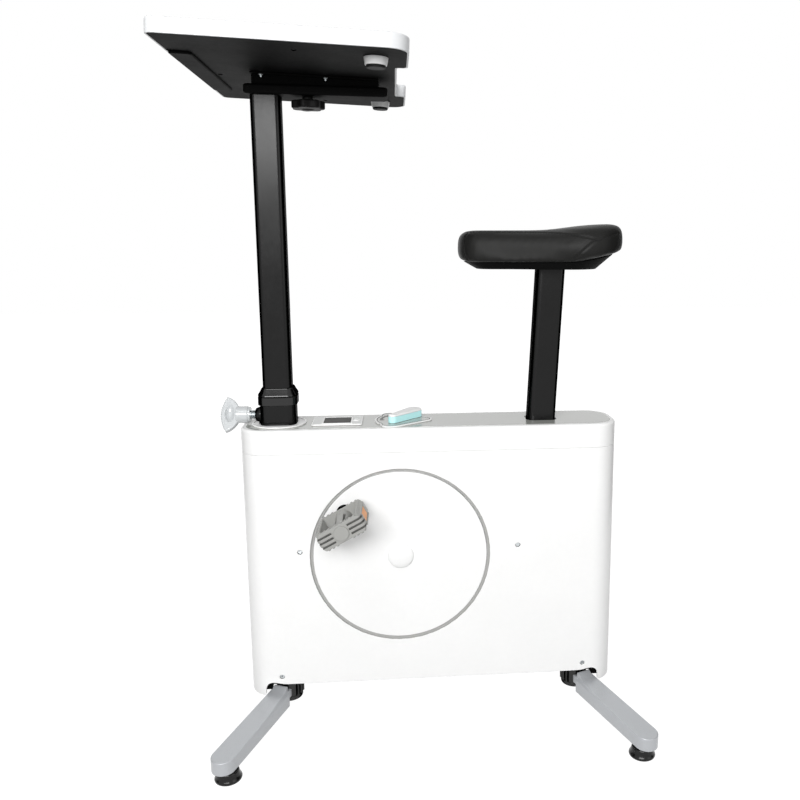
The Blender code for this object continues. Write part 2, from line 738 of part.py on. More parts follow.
def flywheel_bracket():
    """Post from the tray to the beam with the flywheel's bearing tube."""
    x = FLYWHEEL_X
    top = BEAM_Z - BEAM_HEIGHT / 2 - FIT
    post_length, post_width = BRACKET_POST_LENGTH / 2, BRACKET_POST_WIDTH / 2
    foot_length, foot_width = BRACKET_FOOT_LENGTH / 2, BRACKET_FOOT_WIDTH / 2
    post = block("flywheel_bracket", (x - post_length, -post_width, SLEEVE_FOOT),
                 (x + post_length, post_width, top))
    join(post, block("bracket_foot", (x - foot_length, -foot_width, SLEEVE_FOOT),
                     (x + foot_length, foot_width, SLEEVE_FOOT + BRACKET_FOOT_THICKNESS)))
    half = BRACKET_TUBE / 2
    join(post, rod("shaft_tube", SHAFT_RADIUS + FIT + 10, (x, -half, FLYWHEEL_Z), (x, half, FLYWHEEL_Z)))
    cut(post, rod("shaft_bore", SHAFT_RADIUS + FIT, (x, -half - 2, FLYWHEEL_Z),
                  (x, half + 2, FLYWHEEL_Z), sides=24))
    coat("black_paint", post)
    return post


def crank_pieces():
    """Axle, bearing, drive pulley, arms, discs, hub caps and spindles."""
    half = HOUSING_LENGTH / 2
    bore = AXLE_RADIUS + FIT
    lip = BEARING_RADIUS + 4
    profile = [(lip, 2 * half + 3 + FIT), (lip, 2 * half + FIT), (BEARING_RADIUS, 2 * half + FIT),
               (BEARING_RADIUS, -FIT), (lip, -FIT), (lip, -3 - FIT), (bore, -3 - FIT),
               (bore, 2 * half + 3 + FIT)]
    bearing = turned("crank_bearing", profile, along_y(CRANK_X, -half, CRANK_Z), True, 16)
    coat("steel", bearing)

    frame = along_y(CRANK_X, 0, CRANK_Z)
    disc_back = BODY_WIDTH / 2 - DISC_RECESS - DISC_THICKNESS
    end = disc_back + 1
    taper = 8
    profile = [(0, end), (taper, end), (taper, 46), (AXLE_RADIUS, 45), (AXLE_RADIUS, -45),
               (taper, -46), (taper, -end), (0, -end)]
    axle = turned("crank_axle", profile, frame, False, 12)
    coat("steel", axle)

    half_rim = PULLEY_WIDTH / 2
    rim = DRIVE_PULLEY_RADIUS
    profile = [(rim, half_rim), (rim, -half_rim), (rim - 7, -half_rim), (rim - 7, -2), (PULLEY_HUB_RADIUS, -2),
               (PULLEY_HUB_RADIUS, -half_rim), (bore, -half_rim), (bore, 2), (rim - 7, 2), (rim - 7, half_rim)]
    pulley = turned("drive_pulley", profile, along_y(CRANK_X, PULLEY_Y, CRANK_Z), True, 20)
    for step in range(4):
        angle = 2 * pi * step / 4
        x = CRANK_X + PULLEY_WINDOW_RING * cos(angle)
        z = CRANK_Z + PULLEY_WINDOW_RING * sin(angle)
        cut(pulley, rod("pulley_window", PULLEY_WINDOW_RADIUS, (x, PULLEY_Y - 8, z),
                        (x, PULLEY_Y + 8, z), sides=8))
    coat("black_plastic", pulley)

    carried = [axle, pulley]
    for side_name, side in (("near", -1), ("far", 1)):
        carried += crank_side(side_name, side, disc_back, taper)
    hinge_point("crank_axis", frame, *carried)
    return bearing, carried


def crank_side(side_name, side, disc_back, taper):
    """Arm, disc, hub cap and spindle of one side."""
    angle = CRANK_ANGLE if side < 0 else CRANK_ANGLE + pi
    end_x = CRANK_X + CRANK_LENGTH * cos(angle)
    end_z = CRANK_Z + CRANK_LENGTH * sin(angle)
    heading = angle
    root = arc((CRANK_X, CRANK_Z), 19, heading + pi / 2, heading + 3 * pi / 2, 7)
    tip = arc((end_x, end_z), 14, heading - pi / 2, heading + pi / 2, 6)
    back = disc_back - FIT - CRANK_THICKNESS
    low, high = sorted((side * back, side * (disc_back - FIT)))
    arm = upright_plate("crank_arm_" + side_name,
                        [root + tip, circle(taper + FIT, (CRANK_X, CRANK_Z), 24)], low, high)
    boss_end = BODY_WIDTH / 2 + 4
    join(arm, rod("pedal_boss", 15, (end_x, side * (back + 1), end_z), (end_x, side * boss_end, end_z),
                  sides=20))
    coat("black_paint", arm)

    frame = along_y(CRANK_X, 0, CRANK_Z)
    if side < 0:
        frame = frame @ Matrix.Rotation(pi, 4, "X")
    face = disc_back + DISC_THICKNESS
    rim_back = face - DISC_RIM_DEPTH
    profile = [(12, face), (DISC_RADIUS, face), (DISC_RADIUS, rim_back), (DISC_RADIUS - 2.5, rim_back),
               (DISC_RADIUS - 2.5, disc_back), (12, disc_back)]
    disc = turned("crank_disc_" + side_name, profile, frame, True, ROUND_STEPS)
    cut(disc, rod("boss_hole", 15 + FIT, (end_x, side * (disc_back - 4), end_z),
                  (end_x, side * (face + 4), end_z), sides=20))
    coat("white", disc)

    dome = [(0, HUB_CAP_HEIGHT)]
    for step in range(1, 5):
        turn = pi / 2 * (1 - step / 4)
        dome.append((HUB_CAP_RADIUS * cos(turn), 1.5 + (HUB_CAP_HEIGHT - 1.5) * sin(turn)))
    dome += [(HUB_CAP_RADIUS, 0), (0, 0)]
    cap_frame = frame @ move(z=face + FIT)
    cap = turned("hub_cap_" + side_name, dome, cap_frame, False, 20)
    coat("white", cap)

    start = boss_end + FIT
    end = start + PEDAL_GAP + PEDAL_WIDTH - 8
    spindle_frame = frame @ move(CRANK_LENGTH * cos(angle), -side * CRANK_LENGTH * sin(angle), 0)
    if side < 0:
        spindle_frame = frame @ move(CRANK_LENGTH * cos(angle), CRANK_LENGTH * sin(angle), 0)
    profile = [(0, end), (SPINDLE_RADIUS, end), (SPINDLE_RADIUS, start + 6), (9, start + 6),
               (9, start), (0, start)]
    spindle = turned("pedal_spindle_" + side_name, profile, spindle_frame, False, 14)
    coat("steel", spindle)
    return [arm, disc, cap, spindle]


def pedal(side_name, side):
    """A platform pedal: barrel, two side plates, two treads and slotted end plate."""
    angle = CRANK_ANGLE if side < 0 else CRANK_ANGLE + pi
    x = CRANK_X + CRANK_LENGTH * cos(angle)
    z = CRANK_Z + CRANK_LENGTH * sin(angle)
    inner = BODY_WIDTH / 2 + 4 + FIT + PEDAL_GAP
    frame = HOME @ move(x, side * inner, z) @ Matrix.Rotation(-PEDAL_TILT, 4, "Y")
    if side > 0:
        frame = frame @ Matrix.Rotation(pi, 4, "Z")
    half = PEDAL_LENGTH / 2
    tall = PEDAL_THICKNESS / 2
    outline = [(-half, -tall * 0.35), (-half + 10, -tall), (half - 10, -tall), (half, -tall * 0.35),
               (half, tall * 0.35), (half - 10, tall), (-half + 10, tall), (-half, tall * 0.35)]
    width = PEDAL_WIDTH
    body = upright_plate("pedal_body_" + side_name, [outline], -width, 0, frame)
    wall = PEDAL_WALL
    for sign in (-1, 1):
        low_x, high_x = sorted((sign * 13, sign * (half - PEDAL_RAIL)))
        cut(body, block("pedal_window", (low_x, -width + wall, -tall - 1), (high_x, -wall, tall + 1), frame))
        for row in (-1, 0, 1):
            middle = row * 8
            cut(body, block("pedal_slot", (low_x, -width - 1, middle - 2), (high_x, -width + 3.5, middle + 2),
                            frame))
        for bar in (-1, 1):
            low_z, high_z = sorted((bar * (tall - 2.5), bar * (tall + 1)))
            for groove in range(3):
                at = -width + 20 + groove * (width - 40) / 2
                low_g, high_g = sorted((sign * (half - PEDAL_RAIL + 1), sign * (half + 1)))
                cut(body, block("tread_groove", (low_g, at - 2, low_z), (high_g, at + 2, high_z), frame))
        low_w, high_w = sorted((sign * 13.5, sign * 0.5))
        for bar in (-1, 1):
            low_z, high_z = sorted((bar * (tall - 3), bar * (tall + 1)))
            cut(body, block("waist", (low_w, -width + wall + 3, low_z), (high_w, -wall - 3, high_z), frame))
    join(body, rod("pedal_end_cap", 12, (0, -width - 2.5, 0), (0, -width + 4, 0), frame, 20))
    cut(body, rod("pedal_bore", SPINDLE_RADIUS + FIT, (0, -width + 7.5, 0), (0, 2, 0), frame, 16))
    coat("pedal_grey", body)
    hinge_point("pedal_axis_" + side_name, frame, body)
    return body


def belt_and_flywheel():
    """Belt, flywheel, its shaft with the small pulley, and the magnet bracket."""
    first, second = (CRANK_X, CRANK_Z), (FLYWHEEL_X, FLYWHEEL_Z)
    half = PULLEY_WIDTH / 2 - 1
    inner = belt_round(first, DRIVE_PULLEY_RADIUS + FIT, second, SMALL_PULLEY_RADIUS + FIT)
    outer = belt_round(first, DRIVE_PULLEY_RADIUS + FIT + BELT_THICKNESS, second,
                       SMALL_PULLEY_RADIUS + FIT + BELT_THICKNESS)
    belt = upright_plate("drive_belt", [outer, inner], PULLEY_Y - half, PULLEY_Y + half)
    coat("rubber", belt)

    frame = along_y(FLYWHEEL_X, FLYWHEEL_Y, FLYWHEEL_Z)
    thick = FLYWHEEL_THICKNESS / 2
    bore = SHAFT_RADIUS + FIT
    rim = FLYWHEEL_RADIUS
    profile = [(rim, thick), (rim, -thick), (bore, -thick), (bore, 3), (rim - 22, 3), (rim - 22, thick)]
    wheel = turned("flywheel", profile, frame, True, 24)
    coat("cast_iron", wheel)

    low = PULLEY_Y - FLYWHEEL_Y - PULLEY_WIDTH / 2
    high = low + PULLEY_WIDTH
    profile = [(0, thick + 2), (SHAFT_RADIUS, thick + 2), (SHAFT_RADIUS, high), (SMALL_PULLEY_RADIUS, high),
               (SMALL_PULLEY_RADIUS, low), (SHAFT_RADIUS, low), (SHAFT_RADIUS, low - 1), (0, low - 1)]
    shaft = turned("flywheel_shaft", profile, frame, False, 14)
    coat("steel", shaft)
    hinge_point("flywheel_axis", frame, wheel, shaft)

    near = FLYWHEEL_RADIUS + MAGNET_GAP
    far = near + MAGNET_BAND
    centre = (FLYWHEEL_X, FLYWHEEL_Z)
    pivot = (MAGNET_PIVOT_X, MAGNET_PIVOT_Z)
    band = arc(centre, far, radians(35), radians(97), 12)
    boss = arc(pivot, 10, radians(20), radians(250), 10)
    under = arc(centre, near, radians(108), radians(35), 14)
    magnet = upright_plate("magnet_bracket", [band + boss + under, circle(MAGNET_PIN + FIT, pivot, 20)],
                           FLYWHEEL_Y - 11, FLYWHEEL_Y + 11)
    coat("zinc", magnet)
    hinge_point("magnet_axis", along_y(MAGNET_PIVOT_X, 0, MAGNET_PIVOT_Z), magnet)
    return belt, wheel, shaft, magnet


def tension_cable():
    """Cable from under the dial to its stop on the beam."""
    route = [(DIAL_X, 0, BODY_TOP - DIAL_STEM_DEPTH - 2 * FIT), (DIAL_X, 1, 505), (DIAL_X + 6, 8, 480),
             (-5, 22, 440), (55, 30, 400), (98, 31, 360), (116, 31, 325),
             (CABLE_END[0], CABLE_END[1], CABLE_END[2] + FIT)]
    points = smooth_route(route, 2)
    curve = bpy.data.curves.new("tension_cable", "CURVE")
    curve.dimensions = "3D"
    curve.bevel_depth = 2.5 * MM
    curve.bevel_resolution = 1
    curve.use_fill_caps = True
    spline = curve.splines.new("POLY")
    spline.points.add(len(points) - 1)
    for point, place in zip(spline.points, points):
        point.co = (*(Vector(place) * MM), 1)
    cable = placed("tension_cable", curve, HOME)
    cable.data.materials.append(finish_of("rubber"))
    return cable


def smooth_route(route, parts):
    """Points of a smooth curve through a route."""
    ends = [route[0]] + list(route) + [route[-1]]
    points = []
    for index in range(1, len(ends) - 2):
        before, start, end, after = (Vector(p) for p in ends[index - 1:index + 3])
        for step in range(parts):
            t = step / parts
            points.append(0.5 * (2 * start + (end - before) * t
                                 + (2 * before - 5 * start + 4 * end - after) * t ** 2
                                 + (3 * start - before - 3 * end + after) * t ** 3))
    points.append(Vector(route[-1]))
    return points


def half_outline(side):
    """Plan line of one shell from end to end at its outer face."""
    half = BODY_LENGTH / 2
    edge = BODY_WIDTH / 2
    split = FIT / 2
    inner = half - BODY_CORNER
    points = [(-half, split)]
    points += [(-inner - BODY_CORNER * cos(a), edge - BODY_CORNER + BODY_CORNER * sin(a))
               for a in (pi / 2 * step / CORNER_STEPS for step in range(CORNER_STEPS + 1))]
    points += [(x, y) for x, y in reversed([(-px, py) for px, py in points])]
    return [(x, side * y) for x, y in points]


def shell(side_name, side):
    """One side of the housing: wall with skirts, disc opening with its lip, and screw holes."""
    line = half_outline(side)
    shape = bmesh.new()
    lower = [shape.verts.new((x * MM, y * MM, SKIRT_BOTTOM * MM)) for x, y in line]
    upper = [shape.verts.new((x * MM, y * MM, (COVER_SEAM - FIT) * MM)) for x, y in line]
    for index in range(len(line) - 1):
        shape.faces.new((lower[index], lower[index + 1], upper[index + 1], upper[index]))
    mesh = bpy.data.meshes.new("shell_" + side_name)
    shape.to_mesh(mesh)
    shape.free()
    wall = placed("shell_" + side_name, mesh, HOME)
    solid = wall.modifiers.new("Wall", "SOLIDIFY")
    solid.thickness = SHELL_WALL * MM
    solid.offset = -1 if side < 0 else 1
    solid.use_even_offset = True

    depth = BODY_WIDTH
    low, high = sorted((side * 1.0, side * depth))
    gap = [(-SKIRT_START, SKIRT_BOTTOM - 5), (SKIRT_START, SKIRT_BOTTOM - 5)]
    gap += arc((SKIRT_START - 14, SHELL_BOTTOM - 14), 14, 0, pi / 2, 4)
    gap += arc((-SKIRT_START + 14, SHELL_BOTTOM - 14), 14, pi / 2, pi, 4)
    cut(wall, upright_plate("skirt_gap", [gap], low, high))

    opening = DISC_RADIUS + RUN
    face = BODY_WIDTH / 2
    outer = opening + LIP_WALL
    inner = opening - LIP_SHELF
    back = face - LIP_DEPTH
    profile = [(outer, face - 1), (outer, back - LIP_WALL), (inner, back - LIP_WALL), (inner, face - 1)]
    frame = along_y(CRANK_X, 0, CRANK_Z)
    if side < 0:
        frame = frame @ Matrix.Rotation(pi, 4, "X")
    join(wall, turned("disc_lip_" + side_name, profile, frame, True, ROUND_STEPS))
    cut(wall, rod("disc_opening", opening, (CRANK_X, side * back, CRANK_Z),
                  (CRANK_X, side * (face + 5), CRANK_Z), sides=ROUND_STEPS))
    screws = [(x, SHELL_SCREW_Z) for x in (SHELL_FRONT_SCREW_X, SHELL_REAR_SCREW_X)]
    screws += [(x, SHELL_FOOT_SCREW_Z) for x in (-SHELL_FOOT_SCREW_X, SHELL_FOOT_SCREW_X)]
    for x, z in screws:
        cut(wall, rod("screw_hole", SCREW_HOLE, (x, side * (face - SHELL_WALL - 1), z),
                      (x, side * (face + 1), z), sides=12))
    coat("white", wall)
    return wall


def pick_outline(grow=0):
    """Three-cornered base of the dial."""
    corners = [((35, 0), 15, -70, 70), ((-34, 40), 19, 60, 190), ((-34, -40), 19, 170, 300)]
    points = []
    for centre, radius, start, end in corners:
        points += arc(centre, radius + grow, radians(start), radians(end), 4)
    return points


def lever_outline(grow=0):
    """Tapered lever, narrow at its pointer end."""
    points = arc((-37, 0), 7 + grow, radians(100), radians(260), 4)
    points += arc((23, 0), 15 + grow, radians(-82), radians(82), 6)
    return points


def top_cover():
    """Lid of the housing with its recessed deck."""
    outline = rounded(BODY_LENGTH, BODY_WIDTH, BODY_CORNER, steps=CORNER_STEPS)
    cover = plate("top_cover", [outline], COVER_SEAM, BODY_TOP)
    soften(cover, COVER_EDGE, 1, 60)
    inset = 2 * COVER_WALL
    pocket = rounded(BODY_LENGTH - inset, BODY_WIDTH - inset, BODY_CORNER - COVER_WALL,
                     steps=CORNER_STEPS)
    deck = BODY_TOP - DECK_THICKNESS
    cut(cover, plate("cover_hollow", [pocket], COVER_SEAM - 2, deck))
    margin = 2 * PANEL_MARGIN
    recess = rounded(BODY_LENGTH - margin, BODY_WIDTH - margin, BODY_CORNER - PANEL_MARGIN,
                     steps=CORNER_STEPS)
    cut(cover, plate("panel_recess", [recess], BODY_TOP - PANEL_THICKNESS, BODY_TOP + 2))
    lip = 2 * (SHELL_WALL + FIT)
    lip_outer = rounded(BODY_LENGTH - lip, BODY_WIDTH - lip, BODY_CORNER - lip / 2, steps=CORNER_STEPS)
    lip_inner = rounded(BODY_LENGTH - lip - 5, BODY_WIDTH - lip - 5, BODY_CORNER - lip / 2 - 2.5,
                        steps=CORNER_STEPS)
    lip_ring = plate("cover_lip", [lip_outer, lip_inner], COVER_SEAM - 6, COVER_SEAM + 6)
    join(cover, lip_ring)
    for tool in panel_openings("cover", deck - 3, BODY_TOP + 3):
        cut(cover, tool)
    clamp = SEAT_BASE_X + (SEAT_CLAMP_Z - SEAT_BASE_Z) * tan(SEAT_LEAN)
    cut(cover, rod("cover_clamp_hole", CLAMP_THREAD + 2, (clamp, BODY_WIDTH / 2 - 8, SEAT_CLAMP_Z),
                   (clamp, BODY_WIDTH / 2 + 2, SEAT_CLAMP_Z)))
    coat("white", cover)
    return cover


def panel_openings(name, low, high):
    """Cutters for what comes up through the deck."""
    seat_x = SEAT_BASE_X + (BODY_TOP - SEAT_BASE_Z) * tan(SEAT_LEAN)
    sleeve = rounded(SLEEVE_LENGTH + 2 * FIT, SLEEVE_WIDTH + 2 * FIT, SLEEVE_CORNER + FIT, (TABLE_POST_X, 0))
    post = rounded(POST_LENGTH + 5, POST_WIDTH + 3, POST_CORNER + 1, (seat_x, 0))
    display = rounded(DISPLAY_LENGTH - 7.4, DISPLAY_WIDTH - 7.4, 3, (DISPLAY_X, 0), 2)
    stem = circle(DIAL_STEM + FIT, (DIAL_X, 0), 24)
    return [plate(name + "_opening", [outline], low, high) for outline in (sleeve, post, display, stem)]


def top_panel():
    """Glossy inset that covers the deck."""
    margin = 2 * PANEL_MARGIN + 2 * FIT
    outline = rounded(BODY_LENGTH - margin, BODY_WIDTH - margin, BODY_CORNER - margin / 2,
                      steps=CORNER_STEPS)
    low = BODY_TOP - PANEL_THICKNESS + FIT
    panel = plate("top_panel", [outline], low, PANEL_TOP)
    for tool in panel_openings("panel", low - 2, PANEL_TOP + 2):
        cut(panel, tool)
    coat("panel_grey", panel)
    return panel


def display():
    """Bezel with its case, lens and button."""
    low = PANEL_TOP + FIT
    high = low + 2.4
    outline = rounded(DISPLAY_LENGTH, DISPLAY_WIDTH, 4, (DISPLAY_X, 0), 3)
    bezel = plate("display_bezel", [outline], low, high)
    soften(bezel, 0.8, 1, 40)
    window = rounded(WINDOW_LENGTH, WINDOW_WIDTH, 2, (DISPLAY_X, 0), 2)
    cut(bezel, plate("display_window", [window], low - 1, high + 1))
    case = rounded(DISPLAY_LENGTH - 8, DISPLAY_WIDTH - 8, 3, (DISPLAY_X, 0), 2)
    join(bezel, plate("display_case", [case], low - 10, low + 0.5))
    cut(bezel, rod("button_bore", BUTTON_RADIUS + FIT, (BUTTON_X, 0, low - 7), (BUTTON_X, 0, high + 1),
                   sides=20))
    coat("light_grey", bezel)
    lens_outline = rounded(WINDOW_LENGTH - 2 * FIT, WINDOW_WIDTH - 2 * FIT, 2, (DISPLAY_X, 0), 2)
    lens = plate("display_lens", [lens_outline], low + 0.5 + FIT, high - 0.2)
    coat("lens", lens)
    button_frame = HOME @ move(BUTTON_X, 0, low - 4)
    button = turned("display_button", [(0, 8.2), (BUTTON_RADIUS - 1, 8.2), (BUTTON_RADIUS, 7.4),
                                       (BUTTON_RADIUS, 0), (0, 0)], button_frame, False, 20)
    coat("light_grey", button)
    hinge_point("display_button_slide", button_frame, button)
    return bezel, lens, button


def dial():
    """Dial plate, lever and the lever's cap."""
    low = PANEL_TOP + FIT
    high = low + 2.2
    frame = HOME @ move(DIAL_X)
    base = plate("dial_plate", [pick_outline(), circle(DIAL_STEM + FIT, sides=24)], low, high, frame)
    coat("light_grey", base)
    turn = frame @ Matrix.Rotation(LEVER_TURN, 4, "Z")
    body_low = high + FIT
    body = plate("dial_lever", [lever_outline()], body_low, body_low + 10, turn)
    join(body, rod("dial_stem", DIAL_STEM, (0, 0, BODY_TOP - DIAL_STEM_DEPTH), (0, 0, body_low + 2), turn, 24))
    coat("turquoise", body)
    cap = plate("dial_cap", [lever_outline(-0.4)], body_low + 10 + FIT, body_low + 14.5, turn)
    soften(cap, 2, 1, 60)
    coat("light_grey", cap)
    hinge_point("dial_axis", turn, body, cap)
    return base, body, cap


def desk_outline(inset=0):
    """Plan of the desk with the notch in its rear edge."""
    half = DESK_WIDTH / 2 - inset
    front = -DESK_LENGTH + inset
    rear = -inset
    corner = DESK_CORNER - inset
    small = 8
    notch = NOTCH_LENGTH / 2 + inset
    floor = rear - NOTCH_DEPTH
    points = arc((rear - corner, half - corner), corner, 0, pi / 2, 4)
    points += arc((front + corner, half - corner), corner, pi / 2, pi, 4)
    points += arc((front + corner, -half + corner), corner, pi, 3 * pi / 2, 4)
    points += arc((rear - corner, -half + corner), corner, 3 * pi / 2, 2 * pi, 4)
    points += arc((rear - small, -notch - small), small, 0, pi / 2, 2)
    points += arc((floor + small, -notch + small), small, -pi / 2, -pi, 2)
    points += arc((floor + small, notch - small), small, pi, pi / 2, 2)
    points += arc((rear - small, notch + small), small, -pi / 2, 0, 2)
    return points


def desk():
    """Desk top, its underside tray with the slot's bulge, and the bumpers."""
    tray = plate("table_underside", [desk_outline(3)], 0, DESK_TRAY_THICKNESS, DESK)
    soften(tray, 2, 1, 60)
    bulge = plate("slot_bulge", [rounded(BULGE_WIDTH, BULGE_LENGTH, 8, (SLOT_X, 0), 3)],
                  -BULGE_DEPTH, 2, DESK)
    join(tray, bulge)
    slot = rounded(SLOT_WIDTH, SLOT_LENGTH, 5, (SLOT_X, 0), 3)
    cut(tray, plate("tray_slot", [slot], -BULGE_DEPTH + 3, DESK_TRAY_THICKNESS + 1, DESK))
    coat("black_plastic", tray)
    low = DESK_TRAY_THICKNESS + FIT
    top = plate("table_top", [desk_outline()], low, low + DESK_TOP_THICKNESS, DESK)
    soften(top, 3, 1, 60)
    cut(top, plate("top_slot", [slot], low - 1, low + DESK_TOP_THICKNESS + 1, DESK))
    coat("white", top)
    bumpers = []
    for side_name, side in (("near", -1), ("far", 1)):
        frame = DESK @ move(BUMPER_X, side * BUMPER_Y, -FIT)
        r, h = BUMPER_RADIUS, BUMPER_HEIGHT
        profile = [(0, 0), (r, 0), (r, -h + 4), (r - 2, -h + 3), (r - 3, -h), (0, -h)]
        bumper = turned("table_bumper_" + side_name, profile, frame, False, 18)
        coat("light_grey", bumper)
        bumpers.append(bumper)
    return [tray, top] + bumpers


def desk_support():
    """Rail on the post, sliding bracket under the desk and the star knob."""
    side = RAIL_WIDTH / 2
    rail = block("table_rail", (RAIL_FRONT, -side, 0), (RAIL_REAR, side, RAIL_HEIGHT), RAIL)
    soften(rail, 3, 1, 40)
    cut(rail, rod("rail_bolt_hole", 5 + FIT, (0, 0, -2), (0, 0, RAIL_HEIGHT + 2), RAIL, 12))
    coat("black_paint", rail)

    def underside(x):
        drop = (x + RAIL_KNOB_X - DESK_EDGE_X) * tan(DESK_TILT)
        return DESK_EDGE_Z - drop - (RAIL_Z - x * tan(RAIL_SLOPE)) - FIT

    low = RAIL_HEIGHT + FIT
    wedge = [(BRACKET_FRONT, low), (BRACKET_REAR, low), (BRACKET_REAR, underside(BRACKET_REAR)),
             (BRACKET_FRONT, underside(BRACKET_FRONT))]
    half = BRACKET_WIDTH / 2
    bracket = upright_plate("table_bracket", [wedge], -half, half, RAIL)
    for sign in (-1, 1):
        low_y, high_y = sorted((sign * (half - 1), sign * (half + 14)))
        ear = [(BRACKET_FRONT, underside(BRACKET_FRONT) - 2.5), (BRACKET_REAR, underside(BRACKET_REAR) - 2.5),
               (BRACKET_REAR, underside(BRACKET_REAR)), (BRACKET_FRONT, underside(BRACKET_FRONT))]
        join(bracket, upright_plate("bracket_ear", [ear], low_y, high_y, RAIL))
    cut(bracket, block("bracket_channel", (BRACKET_FRONT - 5, -half + BRACKET_WALL, low + BRACKET_WALL),
                       (BRACKET_REAR + 5, half - BRACKET_WALL, underside(BRACKET_FRONT) + 5), RAIL))
    slot = rounded(DESK_TRAVEL + 12, 11, 5, (DESK_TRAVEL / 2, 0), 4)
    cut(bracket, plate("bracket_slot", [slot], low - 2, low + BRACKET_WALL + 2, RAIL))
    coat("zinc", bracket)

    outline = []
    for step in range(28):
        angle = 2 * pi * step / 28
        outline.append(((STAR_RADIUS - 2 + 2 * cos(7 * angle)) * cos(angle),
                        (STAR_RADIUS - 2 + 2 * cos(7 * angle)) * sin(angle)))
    knob = plate("table_knob", [outline], -6.3 - STAR_HEIGHT, -6.3, RAIL)
    soften(knob, 2, 1, 60)
    join(knob, rod("star_collar", 9, (0, 0, -10), (0, 0, -FIT), RAIL, 16))
    join(knob, rod("star_bolt", 5, (0, 0, -8), (0, 0, 26), RAIL, 12))
    join(knob, rod("star_nut", 8.5, (0, 0, low + BRACKET_WALL + FIT), (0, 0, 24.5), RAIL, 6))
    coat("black_plastic", knob)
    hinge_point("table_knob_axis", RAIL, knob)
    return rail, bracket, knob


def half_width(t, nose, rear):
    """Half width of the saddle from nose to rear, t from 0 to 1."""
    ease = min(max((t - 0.12) / 0.68, 0), 1)
    blend = ease * ease * (3 - 2 * ease)
    width = nose + (rear - nose) * blend
    if t < 0.16:
        width *= sqrt(max(1 - (1 - t / 0.16) ** 2, 0)) * 0.75 + 0.25
    if t > 0.75:
        width *= sqrt(max(1 - ((t - 0.75) / 0.25) ** 2, 0)) * 0.75 + 0.25
    return width


def cushion_floor(x):
    """Height of the cushion's underside, which rises towards the tail."""
    t = (x - CUSHION_NOSE_X) / (CUSHION_REAR_X - CUSHION_NOSE_X)
    rise = min(max((t - 0.65) / 0.27, 0), 1)
    return PAN_BOTTOM + PAN_HEIGHT + FIT + CUSHION_TAIL_LIFT * rise


def loft(name, rings, frame=HOME):
    """Skin over rings of points that all have the same count, closed at both ends."""
    shape = bmesh.new()
    made = [[shape.verts.new(Vector(point) * MM) for point in ring] for ring in rings]
    for first, second in zip(made, made[1:]):
        for index in range(len(first)):
            other = (index + 1) % len(first)
            shape.faces.new((first[index], first[other], second[other], second[index]))
    shape.faces.new(made[0])
    shape.faces.new(made[-1])
    return from_bmesh(name, shape, frame)


def saddle():
    """Plastic pan and the soft top."""
    count = 12
    length = PAN_REAR_X - PAN_NOSE_X
    shrink = 1 - (PAN_NOSE_DRAFT + PAN_REAR_DRAFT) / length
    rings = []
    for step in range(count + 1):
        t = step / count
        x = PAN_NOSE_X + length * t
        low_x = PAN_NOSE_X + PAN_NOSE_DRAFT + length * shrink * t
        y = half_width(t, PAN_NOSE_HALF, PAN_REAR_HALF)
        top = cushion_floor(x) - FIT - 0.1 * (cushion_floor(x) - cushion_floor(PAN_NOSE_X))
        rings.append([(low_x, -y * PAN_SIDE_DRAFT, PAN_BOTTOM), (x, -y, top), (x, y, top),
                      (low_x, y * PAN_SIDE_DRAFT, PAN_BOTTOM)])
    pan = loft("seat_pan", rings)
    x = seat_plate_x()
    grow = 2 * FIT
    cut(pan, plate("pan_recess", [rounded(SEAT_PLATE_LENGTH + grow, SEAT_PLATE_WIDTH + grow, 8, (x, 0), 3)],
                   PAN_BOTTOM - 1, PAN_BOTTOM + SEAT_PLATE_THICKNESS + FIT))
    coat("black_plastic", pan)

    rings = []
    for t in (0, 0.04, 0.15, 0.4, 0.65, 0.8, 0.92, 1):
        x = CUSHION_NOSE_X + (CUSHION_REAR_X - CUSHION_NOSE_X) * t
        width = half_width(min(max(t, 0.02), 0.985), CUSHION_NOSE_HALF, CUSHION_REAR_HALF)
        rise = min(max((t - 0.5) / 0.4, 0), 1)
        top = CUSHION_TOP + CUSHION_HUMP * rise * rise * (3 - 2 * rise)
        end = 0.32 if t in (0, 1) else (0.8 if t in (0.04, 0.92) else 1)
        floor = cushion_floor(x)
        tall = (top - floor) * (0.5 + 0.5 * end)
        middle_z = floor + (top - floor) / 2
        section = [(-0.78, -0.5), (-1, -0.22), (-0.98, 0.22), (-0.72, 0.5), (0.72, 0.5), (0.98, 0.22),
                   (1, -0.22), (0.78, -0.5)]
        rings.append([(x, u * width, max(middle_z + v * tall, floor)) for u, v in section])
    cushion = loft("seat_cushion", rings)
    smooth = cushion.modifiers.new("Soft", "SUBSURF")
    smooth.levels = 1
    smooth.render_levels = 1
    coat("vinyl", cushion)
    return pan, cushion


def tooth_half_angle(radius):
    """Half the angle that a tooth takes at a radius, for an involute flank."""
    base = LEG_Y * cos(GEAR_PRESSURE)
    if radius <= base:
        opened = 0
    else:
        opened = sqrt((radius / base) ** 2 - 1) - atan2(sqrt(radius ** 2 - base ** 2), base)
    pitch_opened = tan(GEAR_PRESSURE) - GEAR_PRESSURE
    return pi / 2 / GEAR_TEETH + pitch_opened - opened - GEAR_BACKLASH


